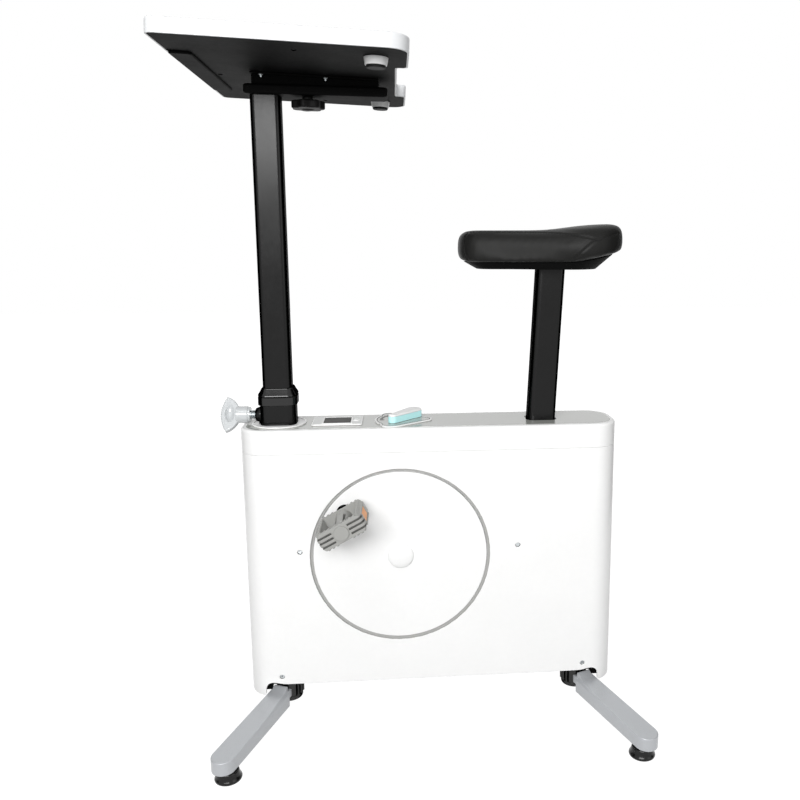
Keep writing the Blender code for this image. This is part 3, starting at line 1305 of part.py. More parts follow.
def hub_outline(side, shift):
    """Leg hub: plain round under the neck, gear teeth where it meets the other leg."""
    pitch = 2 * pi / GEAR_TEETH
    root = LEG_Y - GEAR_DEDENDUM
    tip = LEG_Y + GEAR_ADDENDUM
    first = pi - LEG_SPLAY - pitch + shift
    points = []
    for tooth in range(GEAR_TEETH_CUT):
        middle = first + tooth * pitch
        for radius in (root, LEG_Y, tip):
            points.append((radius, middle - tooth_half_angle(radius)))
        for radius in (tip, LEG_Y, root):
            points.append((radius, middle + tooth_half_angle(radius)))
    start = first + (GEAR_TEETH_CUT - 0.5) * pitch
    end = first + 2 * pi - pitch / 2
    points += [(LEG_Y, start + (end - start) * step / 9) for step in range(10)]
    return [(radius * cos(angle), -side * radius * sin(angle)) for radius, angle in points]


def leg(x_name, x_side, y_name, y_side):
    """One leg with its gear hub, its pin and its levelling foot."""
    name = x_name + "_" + y_name
    heading = atan2(y_side * cos(LEG_SPLAY), x_side * sin(LEG_SPLAY))
    pivot = HOME @ move(x_side * LEG_X, y_side * LEG_Y)
    frame = pivot @ Matrix.Rotation(heading, 4, "Z")
    inner = x_side * y_side

    outline = [(LEG_ROOT + 5, LEG_ROOT_INNER), (LEG_ROOT, LEG_ROOT_INNER - 5),
               (LEG_ROOT, -LEG_ROOT_OUTER + LEG_SHOULDER), (LEG_ROOT + LEG_SHOULDER, -LEG_ROOT_OUTER)]
    outline += arc((LEG_TIP_REACH, -LEG_TIP_OFFSET), LEG_TIP_RADIUS, -pi / 2, pi / 2, 6)
    if inner < 0:
        outline = [(x, -y) for x, y in reversed(outline)]
    beam = plate("leg_" + name, [outline], 0, 1, frame)
    length = LEG_TIP_REACH + LEG_TIP_RADIUS - LEG_ROOT

    def slope(x, y, z):
        t = (x - LEG_ROOT) / length
        top = LEG_ROOT_TOP + (LEG_TIP_TOP - LEG_ROOT_TOP) * t
        bottom = LEG_ROOT_BOTTOM + (LEG_TIP_BOTTOM - LEG_ROOT_BOTTOM) * t
        return x, y, top if z > 0.5 else bottom

    reshape(beam, slope)
    soften(beam, 1.4, 1, 50)
    wide = LEG_ROOT_INNER
    end = LEG_ROOT + LEG_FACET_LENGTH
    facet = [(LEG_ROOT - 4, inner * (wide - LEG_FACET_WIDTH), LEG_ROOT_TOP + 2),
             (LEG_ROOT - 4, inner * (wide + 1.4), LEG_ROOT_TOP - 11),
             (LEG_ROOT - 4, inner * (wide + 3), LEG_ROOT_TOP + 5), (end, inner * (wide - 1.1), LEG_ROOT_TOP - 8),
             (end, inner * (wide + 0.5), LEG_ROOT_TOP - 9.2), (end, inner * (wide + 1.4), LEG_ROOT_TOP - 7)]
    cut(beam, hull("leg_facet", facet, frame))
    low = PIN_CAP_TOP + FIT
    join(beam, block("leg_neck", (8, -NECK_HALF_WIDTH, low + 1), (LEG_ROOT + 6, NECK_HALF_WIDTH, 54), frame))
    shift = 0 if y_side < 0 else pi / GEAR_TEETH
    join(beam, plate("leg_hub", [hub_outline(inner, shift)], low, HUB_TOP, frame))
    cut(beam, rod("leg_bore", PIN_RADIUS + FIT, (0, 0, low - 2), (0, 0, HUB_TOP + 2), frame, 14))
    cut(beam, rod("foot_bore", FOOT_STEM + FIT, (LEG_REACH, 0, 5), (LEG_REACH, 0, 29), frame, 10))
    coat("silver_paint", beam)

    spacer = PIN_RADIUS + 5
    pin_top = BASE_BOTTOM + BASE_WALL - FIT
    profile = [(0, pin_top), (PIN_RADIUS, pin_top), (PIN_RADIUS, BASE_BOTTOM - FIT),
               (spacer, BASE_BOTTOM - FIT), (spacer, HUB_TOP + FIT),
               (PIN_RADIUS, HUB_TOP + FIT), (PIN_RADIUS, PIN_CAP_TOP), (PIN_CAP_RADIUS, PIN_CAP_TOP),
               (PIN_CAP_RADIUS - 1, PIN_CAP_TOP - PIN_CAP_HEIGHT), (0, PIN_CAP_TOP - PIN_CAP_HEIGHT)]
    pin = turned("leg_pin_" + name, profile, pivot, False, 12)
    coat("black_plastic", pin)

    foot_frame = frame @ move(LEG_REACH)
    pad_top = LEG_TIP_BOTTOM - FIT
    profile = [(0, 27), (FOOT_STEM, 27), (FOOT_STEM, pad_top), (FOOT_RADIUS - 2.5, pad_top),
               (FOOT_RADIUS, 3), (FOOT_RADIUS - 1, 0), (0, 0)]
    foot = turned("foot_" + name, profile, foot_frame, False, 16)
    coat("rubber", foot)
    hinge_point("leg_axis_" + name, frame, beam)
    hinge_point("foot_axis_" + name, foot_frame, foot)
    return beam, pin, foot


def build():
    """Make the whole bike."""
    clear_scene()
    base_frame()
    sleeves()
    guides()
    crank_housing()
    flywheel_bracket()
    crank_pieces()
    belt_and_flywheel()
    tension_cable()
    for side_name, side in (("near", -1), ("far", 1)):
        shell(side_name, side)
        pedal(side_name, side)
        for x_name, x_side in (("front", -1), ("rear", 1)):
            leg(x_name, x_side, side_name, side)
    top_cover()
    top_panel()
    display()
    dial()
    posts()
    clamp_knobs()
    desk()
    desk_support()
    saddle()


build()
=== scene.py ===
"""Dressed model of a folding desk bike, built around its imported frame.

Lengths in the code are millimetres and are turned into metres where a mesh is made. The body frame
has its zero on the floor under the middle of the housing: +X points to the saddle, -Y to the near side.
"""

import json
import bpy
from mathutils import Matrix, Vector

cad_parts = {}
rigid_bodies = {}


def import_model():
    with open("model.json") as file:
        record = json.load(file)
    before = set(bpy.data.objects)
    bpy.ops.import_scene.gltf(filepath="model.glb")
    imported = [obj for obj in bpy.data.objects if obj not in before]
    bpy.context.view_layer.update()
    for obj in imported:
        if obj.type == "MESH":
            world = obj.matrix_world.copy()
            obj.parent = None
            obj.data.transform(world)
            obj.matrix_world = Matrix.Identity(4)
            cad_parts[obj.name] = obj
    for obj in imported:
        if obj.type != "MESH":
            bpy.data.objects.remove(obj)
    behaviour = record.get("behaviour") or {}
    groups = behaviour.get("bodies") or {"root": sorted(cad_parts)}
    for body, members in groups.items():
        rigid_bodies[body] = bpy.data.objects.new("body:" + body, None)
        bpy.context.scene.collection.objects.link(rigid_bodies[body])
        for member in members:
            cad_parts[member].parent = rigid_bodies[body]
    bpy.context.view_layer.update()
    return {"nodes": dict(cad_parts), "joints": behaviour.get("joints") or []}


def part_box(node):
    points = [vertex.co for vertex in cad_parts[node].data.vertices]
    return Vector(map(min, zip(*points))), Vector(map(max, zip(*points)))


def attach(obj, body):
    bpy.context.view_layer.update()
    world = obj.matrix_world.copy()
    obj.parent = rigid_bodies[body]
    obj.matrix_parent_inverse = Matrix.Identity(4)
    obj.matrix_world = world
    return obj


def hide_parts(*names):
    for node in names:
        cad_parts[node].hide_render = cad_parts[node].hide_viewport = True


bl_info = {
    "name": "Folding desk bike",
    "version": (1, 0, 0),
    "blender": (4, 5, 0),
    "location": "3D View > Sidebar > Desk Bike",
    "description": "Builds the housing, crank, posts, desk, saddle and legs of a folding desk bike",
    "category": "Object",
}

from math import atan2, cos, pi, radians, sin, sqrt, tan
from types import SimpleNamespace

import bmesh
import bpy
from bpy.props import FloatProperty, FloatVectorProperty, IntProperty, PointerProperty
from bpy.types import Operator, Panel, PropertyGroup
from mathutils import Matrix, Vector
from mathutils.bvhtree import BVHTree
from mathutils.kdtree import KDTree

for leftover in list(bpy.data.objects):
    bpy.data.objects.remove(leftover)
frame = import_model()

MM = 0.001
FIT = 0.3
JOINTS = {joint["name"]: joint for joint in frame["joints"]}
BODY_X = (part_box("top_cover")[0].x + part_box("top_cover")[1].x) / 2 / MM


def move(x=0, y=0, z=0):
    """A shift in millimetres."""
    return Matrix.Translation((x * MM, y * MM, z * MM))


def turn(angle, axis):
    """A turn around a main axis."""
    return Matrix.Rotation(angle, 4, axis)


def pivot(joint):
    """Where a hinge sits, in millimetres in the body frame."""
    place = Vector(JOINTS[joint]["pos_m"]) / MM
    return Vector((place.x - BODY_X, place.y, place.z))


HOME = move(BODY_X)
UPRIGHT = turn(pi / 2, "X")

# Places in the body frame that several pieces share
SIDES = (("near", -1), ("far", 1))
POST_X = -270.0
DISPLAY_X = -167.0
DIAL_X = -48.0
SEAT_X = 195.8
SEAT_Z = 445.0
SLEEVE_BOTTOM = 74.3
SLEEVE_TOP = 579.0
SADDLE_PLATE_Z = 814.3
REAR_CLAMP_Z = 70.0
CLAMP_BOLT_RADIUS = 8.0
DESK_EDGE_X = -35.5
DESK_EDGE_Z = 1123.4


def span(side, first, second):
    """Two distances on one side of the middle, the lower value first."""
    return sorted((side * first, side * second))


# Settings

def distance(name, description, default):
    """A length that is set in millimetres."""
    return FloatProperty(name=name, description=description, default=default * MM, unit="LENGTH")


def rotation(name, description, default):
    """An angle that is set."""
    return FloatProperty(name=name, description=description, default=default, subtype="ANGLE",
                         unit="ROTATION")


def colour(name, description, default):
    """A colour in linear light."""
    return FloatVectorProperty(name=name, description=description, default=default, subtype="COLOR",
                               size=3, min=0, max=1)


def in_mm(group):
    """The values of a settings group, with its lengths in millimetres."""
    values = {}
    for prop in group.bl_rna.properties:
        if prop.identifier in ("rna_type", "name"):
            continue
        value = getattr(group, prop.identifier)
        values[prop.identifier] = value / MM if getattr(prop, "unit", "") == "LENGTH" else value
    return SimpleNamespace(**values)


def settings(name):
    """One settings group of the scene in millimetres."""
    return in_mm(getattr(bpy.context.scene, "desk_bike_" + name))


class ColourSettings(PropertyGroup):
    """Colours of the finishes."""

    white: colour("White plastic", "Housing, discs and desk edge", (0.905, 0.905, 0.9))
    knob: colour("Knob plastic", "Clamp knobs", (0.55, 0.57, 0.58))
    # The desk's white is set darker than the housing's white: painted shade, so that its strongly lit edge
    # band does not clip
    desk: colour("Desk", "White desk top", (0.7, 0.71, 0.72))
    panel: colour("Panel", "Glossy inset of the lid", (0.41, 0.42, 0.395))
    black: colour("Black enamel", "Posts and sleeves", (0.021, 0.021, 0.021))
    black_gloss: colour("Black gloss", "Collar, gears and pins", (0.042, 0.042, 0.042))
    black_plastic: colour("Black plastic", "Bush, pulley and star knob", (0.006, 0.006, 0.006))
    tray: colour("Black tray", "Saddle pan, rail and desk tray", (0.0035, 0.0035, 0.0035))
    # Dark grey for the pedals' louvres, slots and bore: painted shade in those recesses
    pedal_groove: colour("Pedal grooves", "Grooves of the pedals", (0.19, 0.19, 0.18))
    silver: colour("Silver paint", "Legs", (0.46, 0.475, 0.495))
    light_grey: colour("Light grey plastic", "Display frame and button", (0.78, 0.79, 0.78))
    pedal: colour("Pedal plastic", "Pedals", (0.34, 0.34, 0.325))
    turquoise: colour("Turquoise plastic", "Dial lever", (0.58, 0.98, 0.99))
    zinc: colour("Zinc", "Bolts and slide bracket", (0.6, 0.63, 0.64))
    steel: colour("Steel", "Axle, spindles and bearing", (0.5, 0.5, 0.5))
    iron: colour("Cast iron", "Flywheel", (0.09, 0.09, 0.095))
    rubber: colour("Rubber", "Feet, belt and cable", (0.006, 0.006, 0.006))
    vinyl: colour("Vinyl", "Saddle cover", (0.0085, 0.0085, 0.008))
    thread: colour("Thread", "Stitches of the saddle", (0.008, 0.008, 0.008))
    lens: colour("Display glass", "Dark display", (0.078, 0.076, 0.074))
    orange: colour("Reflector", "Reflectors in the pedals", (0.8, 0.3, 0.06))
    # Grey painted into the gap around the crank discs: painted shade standing in for the white lip in
    # shadow in that gap
    groove: colour("Groove", "Gap around the crank discs", (0.42, 0.42, 0.41))
    floor: colour("Floor", "Floor of the stage", (0.5, 0.5, 0.5))


class HousingSettings(PropertyGroup):
    """Sizes of the housing and its lid."""

    length: distance("Length", "Length of the housing", 670)
    width: distance("Width", "Width of the housing", 120)
    corner: distance("Corner", "Corner radius in plan", 45)
    wall: distance("Wall", "Wall thickness of a side", 3)
    skirt_bottom: distance("Skirt bottom", "Height of the skirts over the floor", 48)
    side_bottom: distance("Side bottom", "Height of the long lower edge", 70)
    skirt_start: distance("Skirt start", "Where the skirts begin", 305)
    seam: distance("Seam", "Height of the lid's seam", 499)
    top: distance("Top", "Height of the lid", 542)
    lid_round: distance("Lid edge", "Rounding of the lid's upper edge", 5)
    lid_wall: distance("Lid wall", "Wall thickness of the lid", 4.5)
    deck: distance("Deck", "Thickness of the deck", 4.5)
    panel_margin: distance("Panel margin", "White rim around the glossy inset", 9)
    edge_round: distance("Edge", "Rounding of the moulded edges", 0.7)
    screw_hole: distance("Screw hole", "Radius of the screw holes", 4.5)
    corner_steps: IntProperty(name="Corner steps", description="Steps in each corner", default=18)


class CrankSettings(PropertyGroup):
    """Sizes of the crank discs and caps."""

    disc_radius: distance("Disc", "Radius of the disc", 154.5)
    disc_thickness: distance("Disc thickness", "Thickness of the disc", 2.5)
    rim_depth: distance("Rim", "Depth of the disc's rim", 8)
    gap: distance("Gap", "Gap around the disc", 5.6)
    recess: distance("Recess", "How far the disc sits in", 1)
    boss: distance("Boss", "Radius of the pedal boss", 15)
    cap_radius: distance("Cap radius", "Radius of the hub cap", 23)
    cap_height: distance("Cap height", "Height of the hub cap", 8)


class PedalSettings(PropertyGroup):
    """Sizes of the pedals."""

    length: distance("Length", "Length along the foot", 85)
    width: distance("Width", "Width across", 84)
    thickness: distance("Thickness", "Height of the pedal", 31)
    wall: distance("Wall", "Thickness of the end plates", 6.5)
    rail: distance("Rail", "Width of the treads", 10)
    tilt: rotation("Tilt", "How far the pedals lean", radians(28))


class PostSettings(PropertyGroup):
    """Sizes of the posts, sleeves and clamps."""

    length: distance("Post length", "Post section along the bike", 50)
    width: distance("Post width", "Post section across the bike", 40)
    corner: distance("Post corner", "Corner radius of the post", 10)
    wall: distance("Post wall", "Wall of the post", 2.5)
    slide: distance("Slide gap", "Room between post and sleeve", 2)
    sleeve_wall: distance("Sleeve wall", "Wall of the sleeve", 4)
    collar_height: distance("Collar", "Height of the collar", 30)
    collar_grow: distance("Collar grow", "How far the collar stands out", 3)
    clamp_hub: distance("Clamp hub", "Radius of the clamp's hub", 15)
    clamp_wing: distance("Clamp wing", "Half height of the clamp's wing", 32.5)
    clamp_reach: distance("Clamp reach", "Length of the wing", 30.5)
    clamp_neck: distance("Clamp neck", "Length of the clamp's hub", 21)
    clamp_thickness: distance("Wing thickness", "Thickness of the wing", 12)
    lean: rotation("Lean", "Lean of the saddle post", 0.0503)


class TopSettings(PropertyGroup):
    """Sizes of the display and the dial."""

    display_length: distance("Display length", "Length of the display frame", 88)
    display_width: distance("Display width", "Width of the display frame", 62)
    window: distance("Window", "Side of the display window", 49)
    button_radius: distance("Button", "Radius of the button", 4.5)
    stem: distance("Stem", "Radius of the dial's stem", 8)
    lever_height: distance("Lever height", "Height of the lever under its cap", 11)
    lever_turn: rotation("Lever", "Turn of the dial's lever", radians(52))


class DeskSettings(PropertyGroup):
    """Sizes of the desk and its slide."""

    length: distance("Length", "Length of the desk", 355)
    width: distance("Width", "Width of the desk", 534)
    thickness: distance("Top", "Thickness of the white top", 13.7)
    tray: distance("Tray", "Thickness of the black tray", 8)
    corner: distance("Corner", "Corner radius beside the notch", 32)
    front_corner: distance("Front corner", "Corner radius at the front edge", 12)
    notch_length: distance("Notch length", "Length of the notch", 260)
    notch_depth: distance("Notch depth", "Depth of the notch", 17)
    slot_length: distance("Slot length", "Length of the tablet slot", 300)
    slot_width: distance("Slot width", "Width of the tablet slot", 15)
    bumper_radius: distance("Bumper", "Radius of a bumper", 18)
    bumper_height: distance("Bumper height", "Height of a bumper", 15)
    star_radius: distance("Star knob", "Radius of the star knob", 28.5)
    star_height: distance("Star height", "Height of the star knob", 13)
    tilt: rotation("Tilt", "Tilt of the desk", 0.0449)
    rail_slope: rotation("Rail slope", "Slope of the rail", 0.0172)


class SaddleSettings(PropertyGroup):
    """Sizes of the saddle."""

    nose_half: distance("Nose", "Half width of the nose", 58)
    rear_half: distance("Rear", "Half width of the rear", 106)
    pan_nose_half: distance("Pan nose", "Half width of the pan's nose", 44)
    pan_rear_half: distance("Pan rear", "Half width of the pan's rear", 88)
    pan_height: distance("Pan", "Height of the pan", 11.7)
    voxel: distance("Voxel", "Grid of the soft simulation", 5)
    swell: FloatProperty(name="Pressure", description="Pressure of the filling", default=4)
    swell_limit: distance("Swell", "Most that a point may move", 2.5)


class LegSettings(PropertyGroup):
    """Sizes of the legs and feet."""

    reach: distance("Reach", "From the pin to the foot", 208)
    outer_half: distance("Outer side", "From the leg's line to its outer side", 19)
    inner_half: distance("Inner side", "From the leg's line to its inner side", 17)
    tip_radius: distance("Tip", "Radius of the leg's round end", 20.3)
    tip_offset: distance("Tip offset", "How far the round end sits outwards", 5.4)
    root: distance("Root", "Where the leg's beam begins", 28)
    hub_top: distance("Hub top", "Height of the leg's hub", 66)
    pin_radius: distance("Pin", "Radius of the pin", 8)
    pin_cap: distance("Pin cap", "Radius of the cap under the pin", 23.6)
    foot_radius: distance("Foot", "Radius of a foot", 22.25)
    stem: distance("Stem", "Radius of the foot's stem", 5)
    splay: rotation("Splay", "How far the legs point outwards", radians(21.7))


class StageSettings(PropertyGroup):
    """Light and camera."""

    key_power: FloatProperty(name="Key", description="Power of the key light", default=86, unit="POWER")
    fill_power: FloatProperty(name="Fill", description="Power of the fill light", default=7, unit="POWER")
    top_power: FloatProperty(name="Top", description="Power of the top light", default=7, unit="POWER")
    world: FloatProperty(name="World", description="Strength of the soft room light", default=0.34)
    lens: distance("Lens", "Focal length of the camera", 36.735)


GROUPS = {"colours": ColourSettings, "housing": HousingSettings, "crank": CrankSettings,
          "pedal": PedalSettings, "post": PostSettings, "top": TopSettings, "desk": DeskSettings,
          "saddle": SaddleSettings, "leg": LegSettings, "stage": StageSettings}


# Mesh making

def from_bmesh(name, shape, place=HOME):
    """An object from a bmesh at a place."""
    bmesh.ops.recalc_face_normals(shape, faces=shape.faces)
    mesh = bpy.data.meshes.new(name)
    shape.to_mesh(mesh)
    shape.free()
    thing = bpy.data.objects.new(name, mesh)
    thing.matrix_world = place
    bpy.context.scene.collection.objects.link(thing)
    return thing


def prism(name, outline, low, high, place=HOME):
    """A flat outline drawn out from low to high."""
    shape = bmesh.new()
    lower = [shape.verts.new((x * MM, y * MM, low * MM)) for x, y in outline]
    upper = [shape.verts.new((x * MM, y * MM, high * MM)) for x, y in outline]
    shape.faces.new(lower)
    shape.faces.new(upper)
    for index in range(len(outline)):
        other = (index + 1) % len(outline)
        shape.faces.new((lower[index], lower[other], upper[other], upper[index]))
    return from_bmesh(name, shape, place)


def upright_prism(name, outline, low, high, place=HOME):
    """An outline in X and Z drawn out along Y."""
    return prism(name, outline, -high, -low, place @ UPRIGHT)


def slab(name, low, high, place=HOME):
    """A box between two corners."""
    corners = [(low[0], low[1]), (high[0], low[1]), (high[0], high[1]), (low[0], high[1])]
    return prism(name, corners, low[2], high[2], place)


def round_slab(name, length, width, corner, low, high, x=0, place=HOME):
    """A box with round upright edges, its middle at x."""
    return prism(name, rounded(length, width, corner, (x, 0)), low, high, place)


def bar(name, radius, start, end, place=HOME, sides=32):
    """A round bar between two points."""
    start, end = Vector(start), Vector(end)
    along = end - start
    direction = along.to_track_quat("Z", "Y").to_matrix().to_4x4()
    return prism(name, circle(radius, sides=sides), 0, along.length,
                 place @ move(*start) @ direction)


def lathe(name, profile, place=HOME, steps=64, ring=False):
    """A turned piece from (radius, height) points; a ring closes on itself."""
    shape = bmesh.new()
    rings = []
    for radius, height in profile:
        if radius < 0.001:
            rings.append([shape.verts.new((0, 0, height * MM))])
            continue
        angles = [2 * pi * step / steps for step in range(steps)]
        rings.append([shape.verts.new((radius * cos(a) * MM, radius * sin(a) * MM, height * MM))
                      for a in angles])
    pairs = list(zip(rings, rings[1:]))
    if ring:
        pairs.append((rings[-1], rings[0]))
    for first, second in pairs:
        for index in range(steps):
            other = (index + 1) % steps
            corners = [first[index % len(first)], first[other % len(first)],
                       second[other % len(second)], second[index % len(second)]]
            corners = list(dict.fromkeys(corners))
            if len(corners) > 2:
                shape.faces.new(corners)
    return from_bmesh(name, shape, place)


def loft(name, rings, place=HOME):
    """A skin over rings of points that all have the same count, closed at both ends."""
    shape = bmesh.new()
    made = [[shape.verts.new(Vector(point) * MM) for point in ring] for ring in rings]
    for first, second in zip(made, made[1:]):
        for index in range(len(first)):
            other = (index + 1) % len(first)
            shape.faces.new((first[index], first[other], second[other], second[index]))
    shape.faces.new(made[0])
    shape.faces.new(made[-1])
    return from_bmesh(name, shape, place)


def moulded(name, outline, low, high, edge, place=HOME, steps=4):
    """An outline drawn out between two heights with round edges; the outline takes an inset."""
    levels = []
    for step in range(steps + 1):
        angle = pi / 2 * step / steps
        levels.append((edge * (1 - sin(angle)), edge * (1 - cos(angle))))
    rings = [(inset, low + rise) for inset, rise in levels]
    rings += [(inset, high - rise) for inset, rise in reversed(levels)]
    return loft(name, [[(x, y, height) for x, y in outline(inset)] for inset, height in rings], place)


def reshape(thing, rule):
    """Move each vertex by a rule in millimetres."""
    for vert in thing.data.vertices:
        vert.co = Vector(rule(*(vert.co / MM))) * MM
    return thing


def settle(thing):
    """Turn a piece and its modifiers into a plain mesh and remove the tools."""
    tools = [modifier.object for modifier in thing.modifiers if modifier.type == "BOOLEAN"]
    depsgraph = bpy.context.evaluated_depsgraph_get()
    mesh = bpy.data.meshes.new_from_object(thing.evaluated_get(depsgraph))
    thing.modifiers.clear()
    thing.data = mesh
    for tool in tools:
        bpy.data.objects.remove(tool)
    if tools:
        shape = bmesh.new()
        shape.from_mesh(mesh)
        bmesh.ops.remove_doubles(shape, verts=shape.verts, dist=0.000004)
        bmesh.ops.dissolve_limit(shape, angle_limit=radians(0.3), verts=shape.verts, edges=shape.edges)
        shape.to_mesh(mesh)
        shape.free()
    return thing


def combine(thing, operation, tools):
    """Cut tools out of a piece or weld them to it."""
    for tool in tools:
        modifier = thing.modifiers.new(operation.title(), "BOOLEAN")
        modifier.operation = operation
        modifier.solver = "EXACT"
        modifier.material_mode = "TRANSFER"
        modifier.object = tool
    return settle(thing)


def cut(thing, *tools):
    """Take the tools out of a piece."""
    return combine(thing, "DIFFERENCE", tools)


def join(thing, *others):
    """Weld the others to a piece."""
    return combine(thing, "UNION", others)


def soften(thing, width, segments=3, angle=30):
    """Round the sharp edges of a piece."""
    bevel = thing.modifiers.new("Edges", "BEVEL")
    bevel.width = width * MM
    bevel.segments = segments
    bevel.limit_method = "ANGLE"
    bevel.angle_limit = radians(angle)
    bevel.use_clamp_overlap = False
    return settle(thing)


def round_where(thing, rule, width, segments=5):
    """Round only the edges whose two ends fit a rule."""
    shape = bmesh.new()
    shape.from_mesh(thing.data)
    edges = [edge for edge in shape.edges
             if all(rule(*(vert.co / MM)) for vert in edge.verts)
             and (len(edge.link_faces) < 2 or edge.calc_face_angle(0) > 0.35)]
    bmesh.ops.bevel(shape, geom=edges, offset=width * MM, segments=segments, profile=0.5,
                    affect="EDGES", clamp_overlap=False)
    shape.to_mesh(thing.data)
    shape.free()
    return thing


def merge(name, *pieces):
    """Put several loose pieces into one object."""
    shape = bmesh.new()
    materials = []
    for piece in pieces:
        mesh = piece.data.copy()
        mesh.transform(piece.matrix_world)
        start = len(shape.faces)
        shape.from_mesh(mesh)
        shape.faces.ensure_lookup_table()
        for face in shape.faces[start:]:
            material = mesh.materials[face.material_index] if mesh.materials else None
            if material not in materials:
                materials.append(material)
            face.material_index = materials.index(material)
    mesh = bpy.data.meshes.new(name)
    shape.to_mesh(mesh)
    shape.free()
    for material in materials:
        if material:
            mesh.materials.append(material)
    for piece in pieces:
        bpy.data.objects.remove(piece)
    thing = bpy.data.objects.new(name, mesh)
    bpy.context.scene.collection.objects.link(thing)
    return thing


def paint(thing, finish_name):
    """Give a piece one finish."""
    thing.data.materials.clear()
    thing.data.materials.append(finish(finish_name))
    for face in thing.data.polygons:
        face.material_index = 0
    return thing


def mount(thing, body, nodes=(), angle=38):
    """Shade a piece, let it ride on its body and hide the plain solids it stands for."""
    for face in thing.data.polygons:
        face.use_smooth = True
    thing.data.set_sharp_from_angle(angle=radians(angle))
    even = thing.modifiers.new("Even shading", "WEIGHTED_NORMAL")
    even.keep_sharp = True
    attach(thing, body)
    if nodes:
        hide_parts(*nodes)
    return thing


def dress(finish_name, *nodes):
    """Give plain solids their finish and smooth shading."""
    for node in nodes:
        thing = frame["nodes"][node]
        paint(thing, finish_name)
        for face in thing.data.polygons:
            face.use_smooth = True
        thing.data.set_sharp_from_angle(angle=radians(35))


# Outlines

def circle(radius, centre=(0, 0), sides=32):
    """A circle as a closed outline."""
    angles = [2 * pi * step / sides for step in range(sides)]
    return [(centre[0] + radius * cos(a), centre[1] + radius * sin(a)) for a in angles]


def arc(centre, radius, start, end, steps):
    """Points along an arc from one angle to another."""
    angles = [start + (end - start) * step / steps for step in range(steps + 1)]
    return [(centre[0] + radius * cos(a), centre[1] + radius * sin(a)) for a in angles]


def rounded(length, width, corner, centre=(0, 0), steps=8):
    """A rectangle with round corners as a closed outline."""
    points = []
    for quarter, (x_sign, y_sign) in enumerate(((1, 1), (-1, 1), (-1, -1), (1, -1))):
        middle = (centre[0] + x_sign * (length / 2 - corner), centre[1] + y_sign * (width / 2 - corner))
        points += arc(middle, corner, quarter * pi / 2, (quarter + 1) * pi / 2, steps)
    return points


# Finishes

class Nodes:
    """Short ways to add and link shader nodes."""

    def __init__(self, material):
        material.use_nodes = True
        self.tree = material.node_tree
        self.tree.nodes.clear()

    def add(self, kind, inputs=None, **values):
        """A node with its properties and inputs set; an input may be a socket."""
        node = self.tree.nodes.new(kind)
        for name, value in values.items():
            setattr(node, name, value)
        for name, value in (inputs or {}).items():
            if isinstance(value, bpy.types.NodeSocket):
                self.tree.links.new(value, node.inputs[name])
            else:
                node.inputs[name].default_value = value
        return node

    def noise(self, where, scale, detail=3.0, roughness=0.55):
        """Height of a noise pattern."""
        node = self.add("ShaderNodeTexNoise", {"Vector": where, "Scale": scale, "Detail": detail,
                                               "Roughness": roughness})
        return node.outputs["Fac"]

    def spread(self, value, low, high, start=0.3, end=0.7):
        """A value stretched from one span to another."""
        node = self.add("ShaderNodeMapRange", {"Value": value, "From Min": start, "From Max": end,
                                               "To Min": low, "To Max": high})
        return node.outputs["Result"]

    def mix(self, factor, first, second):
        """Two colours mixed by a factor."""
        return self.add("ShaderNodeMix", {0: factor, 6: first, 7: second}, data_type="RGBA").outputs[2]

    def math(self, operation, first, second=0.0):
        """A sum between two values."""
        return self.add("ShaderNodeMath", {0: first, 1: second}, operation=operation).outputs[0]

    def show(self, shader, kind="ShaderNodeOutputMaterial"):
        """Link a shader to the surface."""
        self.add(kind, {"Surface": shader.outputs[0]})


def shade(base, factor):
    """A colour made lighter or darker, with full opacity."""
    return (*(min(channel * factor, 1) for channel in base), 1)


